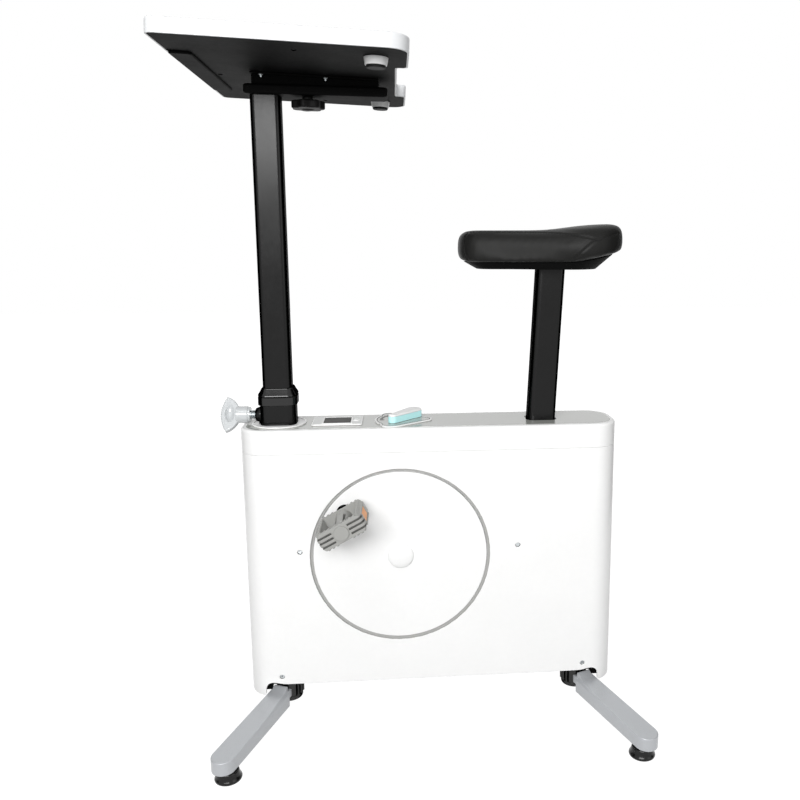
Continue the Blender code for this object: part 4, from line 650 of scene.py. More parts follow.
# Each finish: colour, roughness and its spread, grain size, bump depth, metallic, coat, specular
FINISHES = {
    "white_plastic": ("white", 0.32, 0.02, 1.1, 0.008, 0.0, 0.1, 0.4),
    # A darker copy of the white plastic for the desk: painted shade for its strongly lit edge
    "desk_white": ("desk", 0.35, 0.02, 1.1, 0.008, 0.0, 0.0, 0.3),
    "knob_gloss": ("knob", 0.2, 0.04, 0.9, 0.012, 0.0, 0.5, 0.5),
    # Grey for the gap around the crank discs: painted shade
    "groove_grey": ("groove", 0.5, 0.05, 1.1, 0.01, 0.0, 0.0, 0.3),
    "tray_plastic": ("tray", 0.62, 0.05, 0.7, 0.04, 0.0, 0.0, 0.04),
    "panel_gloss": ("panel", 0.12, 0.04, 6.0, 0.006, 0.0, 0.4, 0.5),
    "black_steel": ("black", 0.24, 0.04, 2.2, 0.02, 1.0, 0.0, 0.5),
    "black_plastic": ("black_plastic", 0.5, 0.07, 0.7, 0.05, 0.0, 0.0, 0.1),
    "black_gloss": ("black_gloss", 0.18, 0.04, 3.0, 0.02, 1.0, 0.0, 0.5),
    "silver_paint": ("silver", 0.3, 0.05, 0.5, 0.012, 0.15, 0.3, 0.5),
    "grey_plastic": ("light_grey", 0.36, 0.06, 0.9, 0.02, 0.0, 0.05, 0.45),
    # Painted shade for the recesses of the pedals
    "pedal_groove": ("pedal_groove", 0.6, 0.05, 0.8, 0.04, 0.0, 0.0, 0.2),
    "pedal_plastic": ("pedal", 0.48, 0.07, 0.8, 0.04, 0.0, 0.0, 0.45),
    "turquoise_plastic": ("turquoise", 0.3, 0.05, 1.0, 0.012, 0.0, 0.2, 0.45),
    "zinc_steel": ("zinc", 0.3, 0.1, 1.4, 0.03, 1.0, 0.0, 0.5),
    "bare_steel": ("steel", 0.28, 0.08, 0.8, 0.02, 1.0, 0.0, 0.5),
    "flywheel_iron": ("iron", 0.5, 0.1, 1.0, 0.08, 0.9, 0.0, 0.5),
    "black_rubber": ("rubber", 0.62, 0.08, 0.6, 0.05, 0.0, 0.0, 0.2),
    "foot_gloss": ("rubber", 0.18, 0.05, 1.5, 0.02, 0.0, 0.0, 0.3),
    "thread": ("thread", 0.7, 0.08, 0.3, 0.05, 0.0, 0.0, 0.3),
    "reflector": ("orange", 0.3, 0.03, 1.6, 0.2, 0.0, 0.0, 0.15),
}


# Black finishes whose gloss stays dark where the eye grazes them
DARK_EDGED = ("black_steel", "black_gloss")
DARK_EDGE = (0.05, 0.05, 0.05, 1)


def finish(name):
    """The material of a finish, made once: fine grain, uneven gloss and a slight change of shade."""
    material = bpy.data.materials.get("look_" + name)
    if material:
        return material
    material = bpy.data.materials.new("look_" + name)
    if name == "saddle_vinyl":
        return vinyl(material)
    if name == "display_lens":
        return display_glass(material)
    key, rough, uneven, grain, depth, metallic, coat, specular = FINISHES[name]
    base = tuple(getattr(bpy.context.scene.desk_bike_colours, key))
    nodes = Nodes(material)
    where = nodes.add("ShaderNodeTexCoord").outputs["Object"]
    fine = nodes.noise(where, 1 / (grain * MM), 4.0, 0.6)
    broad = nodes.noise(where, 14.0, 3.0)
    middle = nodes.noise(where, 130.0, 4.0)
    bump = nodes.add("ShaderNodeBump", {"Height": fine, "Strength": 0.6, "Distance": depth * MM})
    patch = nodes.math("ADD", nodes.math("MULTIPLY", broad, 0.6), nodes.math("MULTIPLY", middle, 0.4))
    if name == "silver_paint":
        flakes = nodes.add("ShaderNodeTexVoronoi", {"Vector": where, "Scale": 1400.0})
        patch = nodes.math("ADD", nodes.math("MULTIPLY", patch, 0.6),
                           nodes.math("MULTIPLY", flakes.outputs["Distance"], 0.6))
    tint = nodes.mix(nodes.spread(patch, 0.0, 1.0), shade(base, 0.98), shade(base, 1.012))
    gloss = nodes.spread(patch, rough - uneven, rough + uneven)
    shader = nodes.add("ShaderNodeBsdfPrincipled",
                       {"Base Color": tint, "Roughness": gloss, "Normal": bump.outputs["Normal"],
                        "Metallic": metallic, "Coat Weight": coat, "Coat Roughness": 0.08,
                        "Specular IOR Level": specular})
    if name in DARK_EDGED:
        shader.inputs["Specular Tint"].default_value = DARK_EDGE
    nodes.show(shader)
    return material


def vinyl(material):
    """Grained black vinyl: rounded pebbles, fine creases and a soft uneven gloss."""
    base = tuple(bpy.context.scene.desk_bike_colours.vinyl)
    nodes = Nodes(material)
    where = nodes.add("ShaderNodeTexCoord").outputs["Object"]
    pebbles = nodes.add("ShaderNodeTexVoronoi", {"Vector": where, "Scale": 620.0, "Smoothness": 0.6},
                        feature="SMOOTH_F1")
    creases = nodes.noise(where, 900.0, 5.0, 0.6)
    broad = nodes.noise(where, 22.0, 3.0)
    height = nodes.math("ADD", nodes.math("MULTIPLY", pebbles.outputs["Distance"], -0.9),
                        nodes.math("MULTIPLY", creases, 0.5))
    bump = nodes.add("ShaderNodeBump", {"Height": height, "Strength": 0.5, "Distance": 0.14 * MM})
    tint = nodes.mix(nodes.spread(broad, 0.0, 1.0), shade(base, 0.86), shade(base, 1.16))
    gloss = nodes.spread(nodes.math("ADD", nodes.math("MULTIPLY", broad, 0.5),
                                    nodes.math("MULTIPLY", creases, 0.5)), 0.42, 0.56)
    shader = nodes.add("ShaderNodeBsdfPrincipled",
                       {"Base Color": tint, "Roughness": gloss, "Normal": bump.outputs["Normal"],
                        "Specular IOR Level": 0.15, "Sheen Weight": 0.03, "Sheen Roughness": 0.4})
    nodes.show(shader)
    return material


def display_glass(material):
    """Dark display glass with a faint uneven field behind it."""
    base = tuple(bpy.context.scene.desk_bike_colours.lens)
    nodes = Nodes(material)
    where = nodes.add("ShaderNodeTexCoord").outputs["Object"]
    field = nodes.noise(where, 60.0, 3.0)
    fine = nodes.noise(where, 900.0, 3.0)
    bump = nodes.add("ShaderNodeBump", {"Height": fine, "Strength": 0.3, "Distance": 0.006 * MM})
    tint = nodes.mix(nodes.spread(field, 0.0, 1.0), shade(base, 0.8), shade(base, 1.25))
    gloss = nodes.spread(field, 0.16, 0.24)
    shader = nodes.add("ShaderNodeBsdfPrincipled",
                       {"Base Color": tint, "Roughness": gloss, "Normal": bump.outputs["Normal"],
                        "Metallic": 0.25, "Specular IOR Level": 0.0})
    nodes.show(shader)
    return material


# Stage, with its own places in metres: lamps with target and size, and the camera

LAMPS = (("key", (-0.6, -2.9, 1.7), (-0.05, 0, 0.5), (2.2, 1.0)),
         ("fill", (2.3, -1.9, 1.3), (0.05, 0, 0.5), (1.3, 1.3)),
         ("top", (-0.55, -1.25, 2.7), (-0.15, 0, 0.55), (0.8, 0.5)))
CAMERA_PLACE = (-0.0503, -1.4462, 0.874)
CAMERA_SHIFT = (-0.0834, -0.0284)
CAMERA_YAW, CAMERA_PITCH, CAMERA_ROLL = 0.08781, 0.17354, -0.00183
SENSOR_WIDTH = 36
FLOOR_SIZE = 8
FLOOR_DROP = 0.0002
GLOW_START, GLOW_END = 1.36, 1.5
GLOW_SHARE = 0.72
CARD_DISTANCE = 1250


def area_light(name, place, target, size, power):
    """A soft rectangular lamp that looks at a target."""
    light = bpy.data.lights.new(name, "AREA")
    light.shape = "RECTANGLE"
    light.size, light.size_y = size
    light.energy = power
    lamp = bpy.data.objects.new(name, light)
    lamp.location = place
    lamp.rotation_euler = (Vector(target) - Vector(place)).to_track_quat("-Z", "Y").to_euler()
    bpy.context.scene.collection.objects.link(lamp)


def seen_ray(nodes):
    """One where a ray comes from the camera, a mirror or a glass."""
    path = nodes.add("ShaderNodeLightPath")
    seen = nodes.math("MAXIMUM", path.outputs["Is Camera Ray"], path.outputs["Is Glossy Ray"])
    return nodes.math("MAXIMUM", seen, path.outputs["Is Transmission Ray"])


class DESKBIKE_OT_stage(Operator):
    """Make the pale floor, the soft lights, the white surroundings and the camera"""

    bl_idname = "desk_bike.stage"
    bl_label = "Stage"

    def execute(self, context):
        values = settings("stage")
        scene = context.scene
        world = bpy.data.worlds.new("studio")
        scene.world = world
        nodes = Nodes(world)
        seen = seen_ray(nodes)
        strength = nodes.spread(seen, values.world, 1.0, 0.0, 1.0)
        background = nodes.add("ShaderNodeBackground", {"Color": (1, 1, 1, 1), "Strength": strength})
        nodes.show(background, "ShaderNodeOutputWorld")

        shape = bmesh.new()
        bmesh.ops.create_grid(shape, x_segments=1, y_segments=1, size=FLOOR_SIZE)
        floor = from_bmesh("studio_floor", shape, Matrix.Identity(4))
        floor.location.z = -FLOOR_DROP
        ground = bpy.data.materials.new("studio_floor")
        nodes = Nodes(ground)
        where = nodes.add("ShaderNodeTexCoord").outputs["Object"]
        base = tuple(scene.desk_bike_colours.floor)
        patch = nodes.noise(where, 3.0, 3.0)
        tint = nodes.mix(nodes.spread(patch, 0.0, 1.0), shade(base, 0.99), shade(base, 1.01))
        matte = nodes.add("ShaderNodeBsdfDiffuse", {"Color": tint, "Roughness": 0.5})
        reach = nodes.add("ShaderNodeVectorMath", {0: where}, operation="LENGTH")
        strength = nodes.spread(reach.outputs["Value"], GLOW_START, GLOW_END, 0.5, 1.6)
        glow = nodes.add("ShaderNodeEmission", {"Color": (1, 1, 1, 1), "Strength": strength})
        factor = nodes.math("MULTIPLY", seen_ray(nodes), GLOW_SHARE)
        both = nodes.add("ShaderNodeMixShader", {0: factor, 1: matte.outputs[0], 2: glow.outputs[0]})
        nodes.show(both)
        floor.data.materials.append(ground)

        for name, place, target, size in LAMPS:
            area_light(name, place, target, size, getattr(values, name + "_power"))
        for side in (-1, 1):
            self.flag(side)

        camera_data = bpy.data.cameras.new("camera")
        camera_data.lens = values.lens
        camera_data.sensor_width = SENSOR_WIDTH
        camera_data.shift_x, camera_data.shift_y = CAMERA_SHIFT
        camera = bpy.data.objects.new("camera", camera_data)
        yaw, pitch, roll = CAMERA_YAW, CAMERA_PITCH, CAMERA_ROLL
        forward = Vector((sin(yaw) * cos(pitch), cos(yaw) * cos(pitch), -sin(pitch)))
        aside = Vector((cos(yaw), -sin(yaw), 0))
        upward = aside.cross(forward)
        right = cos(roll) * aside + sin(roll) * upward
        up = cos(roll) * upward - sin(roll) * aside
        camera.matrix_world = Matrix.Translation(CAMERA_PLACE) @ Matrix(
            (right, up, -forward)).transposed().to_4x4()
        scene.collection.objects.link(camera)
        scene.camera = camera
        scene.view_settings.view_transform = "Standard"
        return {"FINISHED"}

    def flag(self, side):
        """A black card beside the bike that only shows in its gloss."""
        card = slab("studio_flag_" + ("left" if side < 0 else "right"), (-4, -500, 0), (4, 900, 1900),
                    move(side * CARD_DISTANCE))
        black = bpy.data.materials.get("studio_flag") or bpy.data.materials.new("studio_flag")
        nodes = Nodes(black)
        matte = nodes.add("ShaderNodeBsdfDiffuse", {"Color": (0.002, 0.002, 0.002, 1)})
        nodes.show(matte)
        card.data.materials.append(black)
        card.visible_camera = card.visible_diffuse = card.visible_shadow = False
        card.visible_transmission = False


# Housing

def side_outline(side, values, inset=0):
    """Plan line of one half of the housing from end to end."""
    half = values.length / 2 - inset
    edge = values.width / 2 - inset
    corner = values.corner - inset
    points = [(-half, FIT / 2)]
    points += arc((-half + corner, edge - corner), corner, pi, pi / 2, values.corner_steps)
    points += [(-x, y) for x, y in reversed(points)]
    return [(x, side * y) for x, y in points]


def along_y(x, y, z, side=1):
    """A frame whose Z runs to the far side, or to the near side."""
    place = HOME @ move(x, y, z) @ turn(-pi / 2, "X")
    return place if side > 0 else place @ turn(pi, "X")


def skirt_gap(values):
    """Outline of the long gap under a side, with its small rise at both ends."""
    start = values.skirt_start
    bottom = values.skirt_bottom
    line = values.side_bottom
    half = [(start + 7, bottom - 6), (start + 7, bottom)]
    half += arc((start + 7, bottom + 7), 7, -pi / 2, -pi, 5)
    half += arc((start - 12, line + 4 - 12), 12, 0, pi / 2, 6)
    half += [(start - 18, line + 3.6), (start - 25, line + 2), (start - 32, line + 0.5), (start - 40, line)]
    return half + [(-x, z) for x, z in reversed(half)]


def cross(long, thick, low, high, place):
    """Tools for a cross recess."""
    return [slab("cross", (-long, -thick, low), (long, thick, high), place),
            slab("cross", (-thick, -long, low), (thick, long, high), place)]


def screw_head(x, y, z, side, radius=4.0):
    """A countersunk screw with a cross recess, its face towards one side."""
    place = along_y(x, y, z, side)
    profile = [(0, 0), (radius - 0.5, 0), (radius, -0.4), (radius - 1.5, -1.6), (0, -1.6)]
    head = lathe("screw_head", profile, place, 28)
    return paint(cut(head, *cross(2.2, 0.45, -1.1, 1, place)), "zinc_steel")


class DESKBIKE_OT_housing(Operator):
    """Mould the two sides of the housing with their disc openings, skirts and screws"""

    bl_idname = "desk_bike.housing"
    bl_label = "Housing sides"

    def execute(self, context):
        values = settings("housing")
        crank = settings("crank")
        axle = pivot("crank_turn")
        opening = crank.disc_radius + crank.gap
        face = values.width / 2
        room, lip, reach = 11.5, 2.5, 11
        upper, lower = 321, 84.7
        screws = [(-values.length / 2 + 99, upper), (152.5, upper)]
        screws += [(side * (values.length / 2 - 59), lower) for side in (-1, 1)]
        for name, side in SIDES:
            outline = side_outline(side, values) + side_outline(side, values, values.wall)[::-1]
            wall = prism("housing_" + name, outline, values.skirt_bottom, values.seam - FIT)
            cut(wall, upright_prism("gap", skirt_gap(values), *span(side, 1, values.width)))
            back = face - room - lip
            profile = [(opening + lip, face - 1), (opening + lip, back), (opening - reach, back),
                       (opening - reach, face - 1)]
            place = along_y(axle.x, 0, axle.z, side)
            join(wall, lathe("disc_lip", profile, place, 96, True))
            paint(wall, "white_plastic")
            # The faces of the disc opening take the grey groove finish: painted shade in the narrow gap
            # around the disc
            cut(wall, paint(bar("disc_opening", opening, (0, 0, face - 4.5), (0, 0, face + 5), place, 128),
                            "groove_grey"),
                bar("disc_room", crank.disc_radius + 1, (0, 0, face - room), (0, 0, face), place, 128))
            holes = [bar("hole", values.screw_hole, (x, side * (face - 4), z), (x, side * (face + 1), z))
                     for x, z in screws]
            cut(wall, *holes)
            soften(wall, values.edge_round, 3)
            mount(wall, "chassis", ["shell_" + name])
            heads = [screw_head(x, side * (face - 2.4), z, side) for x, z in screws]
            mount(merge("housing_screws_" + name, *heads), "chassis")
        return {"FINISHED"}


def seat_line(z):
    """Where the axis of the saddle post crosses a height, in the body frame."""
    values = settings("post")
    return SEAT_X + (z - SEAT_Z) * tan(values.lean)


def sleeve_section():
    """Length, width and corner of the sleeves."""
    values = settings("post")
    grow = values.slide + values.sleeve_wall
    return values.length + 2 * grow, values.width + 2 * grow, values.corner + values.sleeve_wall


def deck_openings(low, high):
    """Tools for what comes up through the deck."""
    post = settings("post")
    top = settings("top")
    length, width, corner = sleeve_section()
    seat = (seat_line(settings("housing").top), 0)
    outlines = [rounded(length + 0.6, width + 0.6, corner + 0.3, (POST_X, 0)),
                rounded(post.length + 5, post.width + 3, post.corner + 1, seat),
                rounded(top.display_length - 7.4, top.display_width - 7.4, 3, (DISPLAY_X, 0)),
                circle(top.stem + FIT, (DIAL_X, 0), 40)]
    return [prism("deck_opening", outline, low, high) for outline in outlines]


class DESKBIKE_OT_lid(Operator):
    """Mould the lid with its recessed deck, the glossy inset and the ring around the front post"""

    bl_idname = "desk_bike.lid"
    bl_label = "Lid"

    def execute(self, context):
        values = settings("housing")

        def plan(inset):
            """Plan of the housing, drawn in by an inset."""
            return rounded(values.length - 2 * inset, values.width - 2 * inset, values.corner - inset,
                           steps=values.corner_steps)

        lid = prism("lid", plan(0), values.seam, values.top)
        round_where(lid, lambda x, y, z: z > values.top - 0.1, values.lid_round, 6)
        round_where(lid, lambda x, y, z: z < values.seam + 0.1, 0.7, 2)
        wall = values.lid_wall
        deck = values.top - values.deck
        cut(lid, prism("pocket", plan(wall), values.seam - 2, deck))
        margin = values.panel_margin
        cut(lid, prism("recess", plan(margin), values.top - 1.5, values.top + 2))
        inset, lip_wall, lip = values.wall + FIT, 2.5, 6
        low, high = values.seam - lip, values.seam + lip
        hollow = prism("lip_hollow", plan(inset + lip_wall), low - 1, high + 1)
        join(lid, cut(prism("lip", plan(inset), low, high), hollow))
        cut(lid, *deck_openings(deck - 3, values.top + 3))
        clamp = pivot("saddle_post_knob_turn")
        cut(lid, bar("clamp_hole", 10, (clamp.x, values.width / 2 - 8, clamp.z),
                     (clamp.x, values.width / 2 + 2, clamp.z)))
        mount(paint(lid, "white_plastic"), "chassis", ["top_cover"], 30)

        panel = prism("deck_panel", plan(margin + FIT), values.top - 1.2, values.top + FIT)
        cut(panel, *deck_openings(values.top - 4, values.top + 3))
        soften(panel, 0.35, 2)
        mount(paint(panel, "panel_gloss"), "chassis", ["top_panel"])

        sleeve_length, sleeve_width, sleeve_corner = sleeve_section()
        low = values.top + 0.4
        trim_length, trim_width, trim_corner, rim = 95, 93, 44, 3

        def trim_plan(inset):
            """Plan of the ring around the front sleeve."""
            return rounded(trim_length - 2 * inset, trim_width - 2 * inset, trim_corner - inset,
                           (POST_X, 0), 16)

        trim = moulded("sleeve_trim", trim_plan, low, low + 2.6, 0.9)
        cut(trim, moulded("trim_dish", lambda inset: trim_plan(rim + inset), low + 1.2, low + 6, 0.6),
            prism("trim_hole", rounded(sleeve_length + 1.2, sleeve_width + 1.2, sleeve_corner + 0.6,
                                       (POST_X, 0), 12), low - 1, low + 5))
        mount(paint(trim, "white_plastic"), "chassis")
        return {"FINISHED"}


class DESKBIKE_OT_display(Operator):
    """Set the display frame, its glass and the button into the deck"""

    bl_idname = "desk_bike.display"
    bl_label = "Display"

    def execute(self, context):
        values = settings("top")
        low = settings("housing").top + 2 * FIT
        frame_height, case_depth, flange, button_offset = 2.4, 10, 4, 33
        high = low + frame_height
        length, width, side = values.display_length, values.display_width, values.window
        bezel = round_slab("display_frame", length, width, 4, low, high, DISPLAY_X)
        case = round_slab("case", length - 2 * flange, width - 2 * flange, 3, low - case_depth, low + 0.5,
                          DISPLAY_X)
        join(bezel, case)
        soften(bezel, 0.7, 3)
        cut(bezel, round_slab("window", side, side, 2, low - 1, high + 1, DISPLAY_X))
        button_x = DISPLAY_X + button_offset
        radius = values.button_radius
        cut(bezel, bar("bore", radius + FIT, (button_x, 0, low - 7), (button_x, 0, high + 1)))
        mount(paint(bezel, "grey_plastic"), "chassis", ["display_bezel"])

        rim = round_slab("window_rim", side + 5, side + 5, 3.5, high - 0.2, high + 0.9, DISPLAY_X)
        cut(rim, round_slab("rim_hole", side - 1, side - 1, 2, high - 2, high + 3, DISPLAY_X))
        profile = [(radius + 0.4, 0.9), (radius + 0.4, -0.2), (radius + 2.6, -0.2), (radius + 2.4, 0.6),
                   (radius + 1.8, 0.9)]
        button_ring = lathe("button_ring", profile, HOME @ move(button_x, 0, high), 40, True)
        lip = round_slab("frame_lip", length + 0.6, width + 0.6, 4.3, low, high + 0.2, DISPLAY_X)
        cut(lip, round_slab("lip_hole", length - 3, width - 3, 3, low - 2, high + 3, DISPLAY_X))
        trim = merge("display_trim", paint(soften(rim, 0.35, 2), "white_plastic"),
                     paint(soften(lip, 0.5, 2), "white_plastic"), paint(button_ring, "white_plastic"))
        mount(trim, "chassis")

        glass = round_slab("display_glass", side - 0.6, side - 0.6, 2, low + 0.8, high - 0.2, DISPLAY_X)
        paint(soften(glass, 0.2, 2), "display_lens")
        mount(glass, "chassis", ["display_lens"])

        dish = [(0, 7.4), (radius * 0.45, 7.55), (radius - 1.1, 8.1), (radius - 0.6, 8.2), (radius, 7.7),
                (radius, 0), (0, 0)]
        button = lathe("display_button", dish, HOME @ move(button_x, 0, low - 4), 40)
        mount(paint(button, "grey_plastic"), "button", ["display_button"])
        return {"FINISHED"}


def pick_outline(inset=0.0, steps=10):
    """Base of the dial: a point to the rear and a bow to the front."""
    points = arc((35, 0), 15 - inset, radians(-68), radians(68), steps)
    points += arc((-24, 37), 19.5 - inset, radians(64), radians(160), steps)
    points += arc((8, 0), 61 - inset, radians(147), radians(213), steps)
    points += arc((-24, -37), 19.5 - inset, radians(200), radians(296), steps)
    return points


def lever_outline(inset=0.0):
    """Tapered lever, narrow at its pointer end."""
    points = arc((-33, 0), 8.5 - inset, radians(100), radians(260), 12)
    return points + arc((28, 0), 15 - inset, radians(-82), radians(82), 16)


class DESKBIKE_OT_dial(Operator):
    """Make the dial plate with its ticks, the lever and the lever's cap"""

    bl_idname = "desk_bike.dial"
    bl_label = "Dial"

    def execute(self, context):
        values = settings("top")
        low = settings("housing").top + 2 * FIT
        high = low + 2.2
        place = HOME @ move(DIAL_X)
        plate = moulded("dial_base", pick_outline, low, high, 0.5, place, 3)
        cut(plate, prism("face_room", pick_outline(3.4), high - 0.5, high + 2, place),
            bar("stem_hole", values.stem + FIT, (0, 0, low - 2), (0, 0, high + 2), place, 40))
        mount(paint(plate, "white_plastic"), "chassis", ["dial_plate"])
        face = prism("dial_face", pick_outline(4.4), high - 0.6, high - 0.1, place)
        cut(face, bar("stem_hole", values.stem + FIT, (0, 0, low - 2), (0, 0, high + 2), place, 40))
        mount(paint(face, "panel_gloss"), "chassis")
        line = prism("line", pick_outline(3.4), high - 0.6, high + 0.1, place)
        marks = [cut(line, prism("line_core", pick_outline(4.4), high - 1, high + 2, place))]
        ticks, first_tick, tick_step, tick_end, tick_half = 9, 112, 9, 52, 1.0
        for step in range(ticks):
            spot = place @ move(8) @ turn(radians(first_tick + tick_step * step), "Z")
            length = 8 if step % 4 == 0 else 5.5
            marks.append(slab("tick", (tick_end - length, -tick_half, high - 0.3),
                              (tick_end, tick_half, high + 0.25), spot))
        marks = [paint(mark, "tray_plastic") for mark in marks]
        mount(merge("dial_marks", *marks), "chassis")

        lever_place = place @ turn(values.lever_turn, "Z")
        floor, stem_foot = high + FIT, 520
        thick = values.lever_height
        lever = moulded("dial_lever", lever_outline, floor, floor + thick, 0.9, lever_place, 3)
        join(lever, bar("stem", values.stem, (0, 0, stem_foot), (0, 0, floor + 2), lever_place, 40))
        mount(paint(lever, "turquoise_plastic"), "resistance_dial", ["dial_lever"])
        levels = [(1.0, 0.0), (0.4, 0.3), (0.2, 1.2), (0.5, 2.2), (1.2, 3.0), (2.2, 3.5), (3.4, 3.7)]
        seat = floor + thick + FIT
        rings = [[(x, y, seat + rise) for x, y in lever_outline(inset)] for inset, rise in levels]
        cap = loft("dial_lever_cap", rings, lever_place)
        mount(paint(cap, "white_plastic"), "resistance_dial", ["dial_cap"])
        return {"FINISHED"}


# Posts

def tube(name, section, wall, bottom, top, place):
    """A rounded rectangular tube whose ends follow height rules of X."""
    length, width, corner = section
    outer = prism(name, rounded(length, width, corner, steps=9), 0, 1, place)
    reshape(outer, lambda x, y, z: (x, y, top(x) if z > 0.5 else bottom(x)))
    inner = prism("bore", rounded(length - 2 * wall, width - 2 * wall, max(corner - wall, 1), steps=9),
                  0, 1, place)
    reshape(inner, lambda x, y, z: (x, y, top(x) + 2 if z > 0.5 else bottom(x) - 2))
    return cut(outer, inner)


def level(height):
    """A height rule for a square cut."""
    return lambda x: height


def seat_place():
    """The frame of the leaning saddle post."""
    return HOME @ move(SEAT_X, 0, SEAT_Z) @ turn(settings("post").lean, "Y")


def seat_height(world_z):
    """The rule that cuts the leaning tube level at a height."""
    lean = settings("post").lean
    return lambda x: (world_z - SEAT_Z + x * sin(lean)) / cos(lean)


class DESKBIKE_OT_sleeves(Operator):
    """Make the two sleeves with their clamp bosses and the collar of the front one"""

    bl_idname = "desk_bike.sleeves"
    bl_label = "Sleeves and collar"

    def execute(self, context):
        values = settings("post")
        length, width, corner = sleeve_section()
        wall = values.sleeve_wall
        place = HOME @ move(POST_X)
        top = SLEEVE_TOP
        clamp_z = pivot("desk_post_knob_turn").z
        bolt = CLAMP_BOLT_RADIUS + FIT
        front = tube("front_sleeve", (length, width, corner), wall, level(SLEEVE_BOTTOM), level(top - FIT),
                     place)
        face = -length / 2
        soften(front, 0.8, 3)
        boss = lathe("boss", [(0, -2), (14, -2), (13.6, 3), (12.4, 6.2), (11.2, 9), (9.8, 9.8), (0, 9.8)],
                     place @ move(face, 0, clamp_z) @ turn(-pi / 2, "Y"), 56)
        gusset = prism("gusset", [(face + 1, -11), (face - 4, -6), (face - 4, 6), (face + 1, 11)],
                       clamp_z - 22, clamp_z, place)
        join(front, soften(gusset, 1, 2), boss)
        cut(front, bar("bolt_hole", bolt, (face - 12, 0, clamp_z), (face + 7, 0, clamp_z), place, 40))
        mount(paint(front, "black_steel"), "chassis", ["table_post_sleeve"])

        lean = seat_place()
        rear_top, boss_radius = 83, 12
        rear = tube("rear_sleeve", (length, width, corner), wall, seat_height(SLEEVE_BOTTOM),
                    level(rear_top), lean)
        side = width / 2
        clamp = REAR_CLAMP_Z
        soften(rear, 0.8, 3)
        boss = bar("boss", boss_radius, (0, side - 2, clamp), (0, side + 6, clamp), lean, 48)
        join(rear, soften(boss, 0.8, 3, 50))
        cut(rear, bar("bolt_hole", bolt, (0, side - 7, clamp), (0, side + 8, clamp), lean, 40))
        mount(paint(rear, "black_steel"), "chassis", ["seat_post_sleeve"])

        grow = values.collar_grow
        steps = [(0, -0.6), (0.6, 0), (14.2, 0), (14.9, -0.7), (15.2, -1.5), (15.8, -1.5), (16.2, -0.6),
                 (17, -0.1), (19, -0.6), (25.5, -4.6), (27.6, -5.6), (29.2, -6.4), (30, -7.4)]
        rings = []
        for rise, out in steps:
            more = grow + out
            outline = rounded(length + 2 * more, width + 2 * more, corner + more, steps=9)
            rings.append([(x, y, top + rise) for x, y in outline])
        collar = loft("front_collar", rings, place)
        plug = prism("plug", rounded(values.length + 3.4, values.width + 3.4, values.corner + 1, steps=9),
                     top - 30, top + 1, place)
        join(collar, plug)
        bore = rounded(values.length + 2 * FIT, values.width + 2 * FIT, values.corner, steps=9)
        cut(collar, prism("bore", bore, top - 32, top + values.collar_height + 2, place),
            bar("bolt_room", 9, (-length / 2, 0, clamp_z), (-values.length / 2 + 3, 0, clamp_z), place))
        mount(paint(collar, "black_gloss"), "chassis", ["post_collar"])
        return {"FINISHED"}


class DESKBIKE_OT_posts(Operator):
    """Make the two inner tubes with their guide feet and the plate under the saddle"""

    bl_idname = "desk_bike.posts"
    bl_label = "Posts"

    def execute(self, context):
        values = settings("post")
        desk = settings("desk")
        knob = pivot("desk_knob_turn")
        place = HOME @ move(POST_X)
        section = (values.length, values.width, values.corner)
        glide = (values.length + 3.4, values.width + 3.4, values.corner + 1)

        def under_rail(x):
            """Height of the rail's underside."""
            return knob.z - FIT - (x + POST_X - knob.x) * tan(desk.rail_slope)

        front_low, rear_low, guide = 440, -145, 20
        front = tube("desk_post", section, values.wall, level(front_low), under_rail, place)
        join(front, tube("glide", glide, values.slide, level(front_low + 1),
                         level(front_low + 1 + guide), place))
        soften(front, 0.6, 2, 40)
        mount(paint(front, "black_steel"), "desk_post", ["table_post"])

        lean = seat_place()
        low = SADDLE_PLATE_Z
        rear = tube("saddle_post", section, values.wall, level(rear_low), seat_height(low + 2), lean)
        join(rear, tube("glide", glide, values.slide, level(rear_low + 1), level(rear_low + 1 + guide),
                        lean))
        plate = round_slab("plate", 90, 60, 8, low, low + 4, seat_line(low))
        join(rear, plate)
        soften(rear, 0.6, 2, 40)
        mount(paint(rear, "black_steel"), "saddle_post", ["seat_post"])
        return {"FINISHED"}


def wing_outline(inset):
    """Side view of a clamp's wing: bowed outer edge with ribs and shoulders that run to the hub."""
    values = settings("post")
    tip, reach = values.clamp_wing - inset, values.clamp_reach - inset
    points = []
    for step in range(61):
        height = 1 - step / 30
        rib = 0.8 * cos(step * pi / 2) if 5 < step < 55 else 0
        points.append((-reach + rib + 10 * height * height, tip * height))
    shoulder = [(-15, 0.94), (-8, 0.78), (-3, 0.6), (0, 0.44)]
    points += [(x - inset, -tip * part) for x, part in shoulder]
    return points + [(x - inset, tip * part) for x, part in reversed(shoulder)]


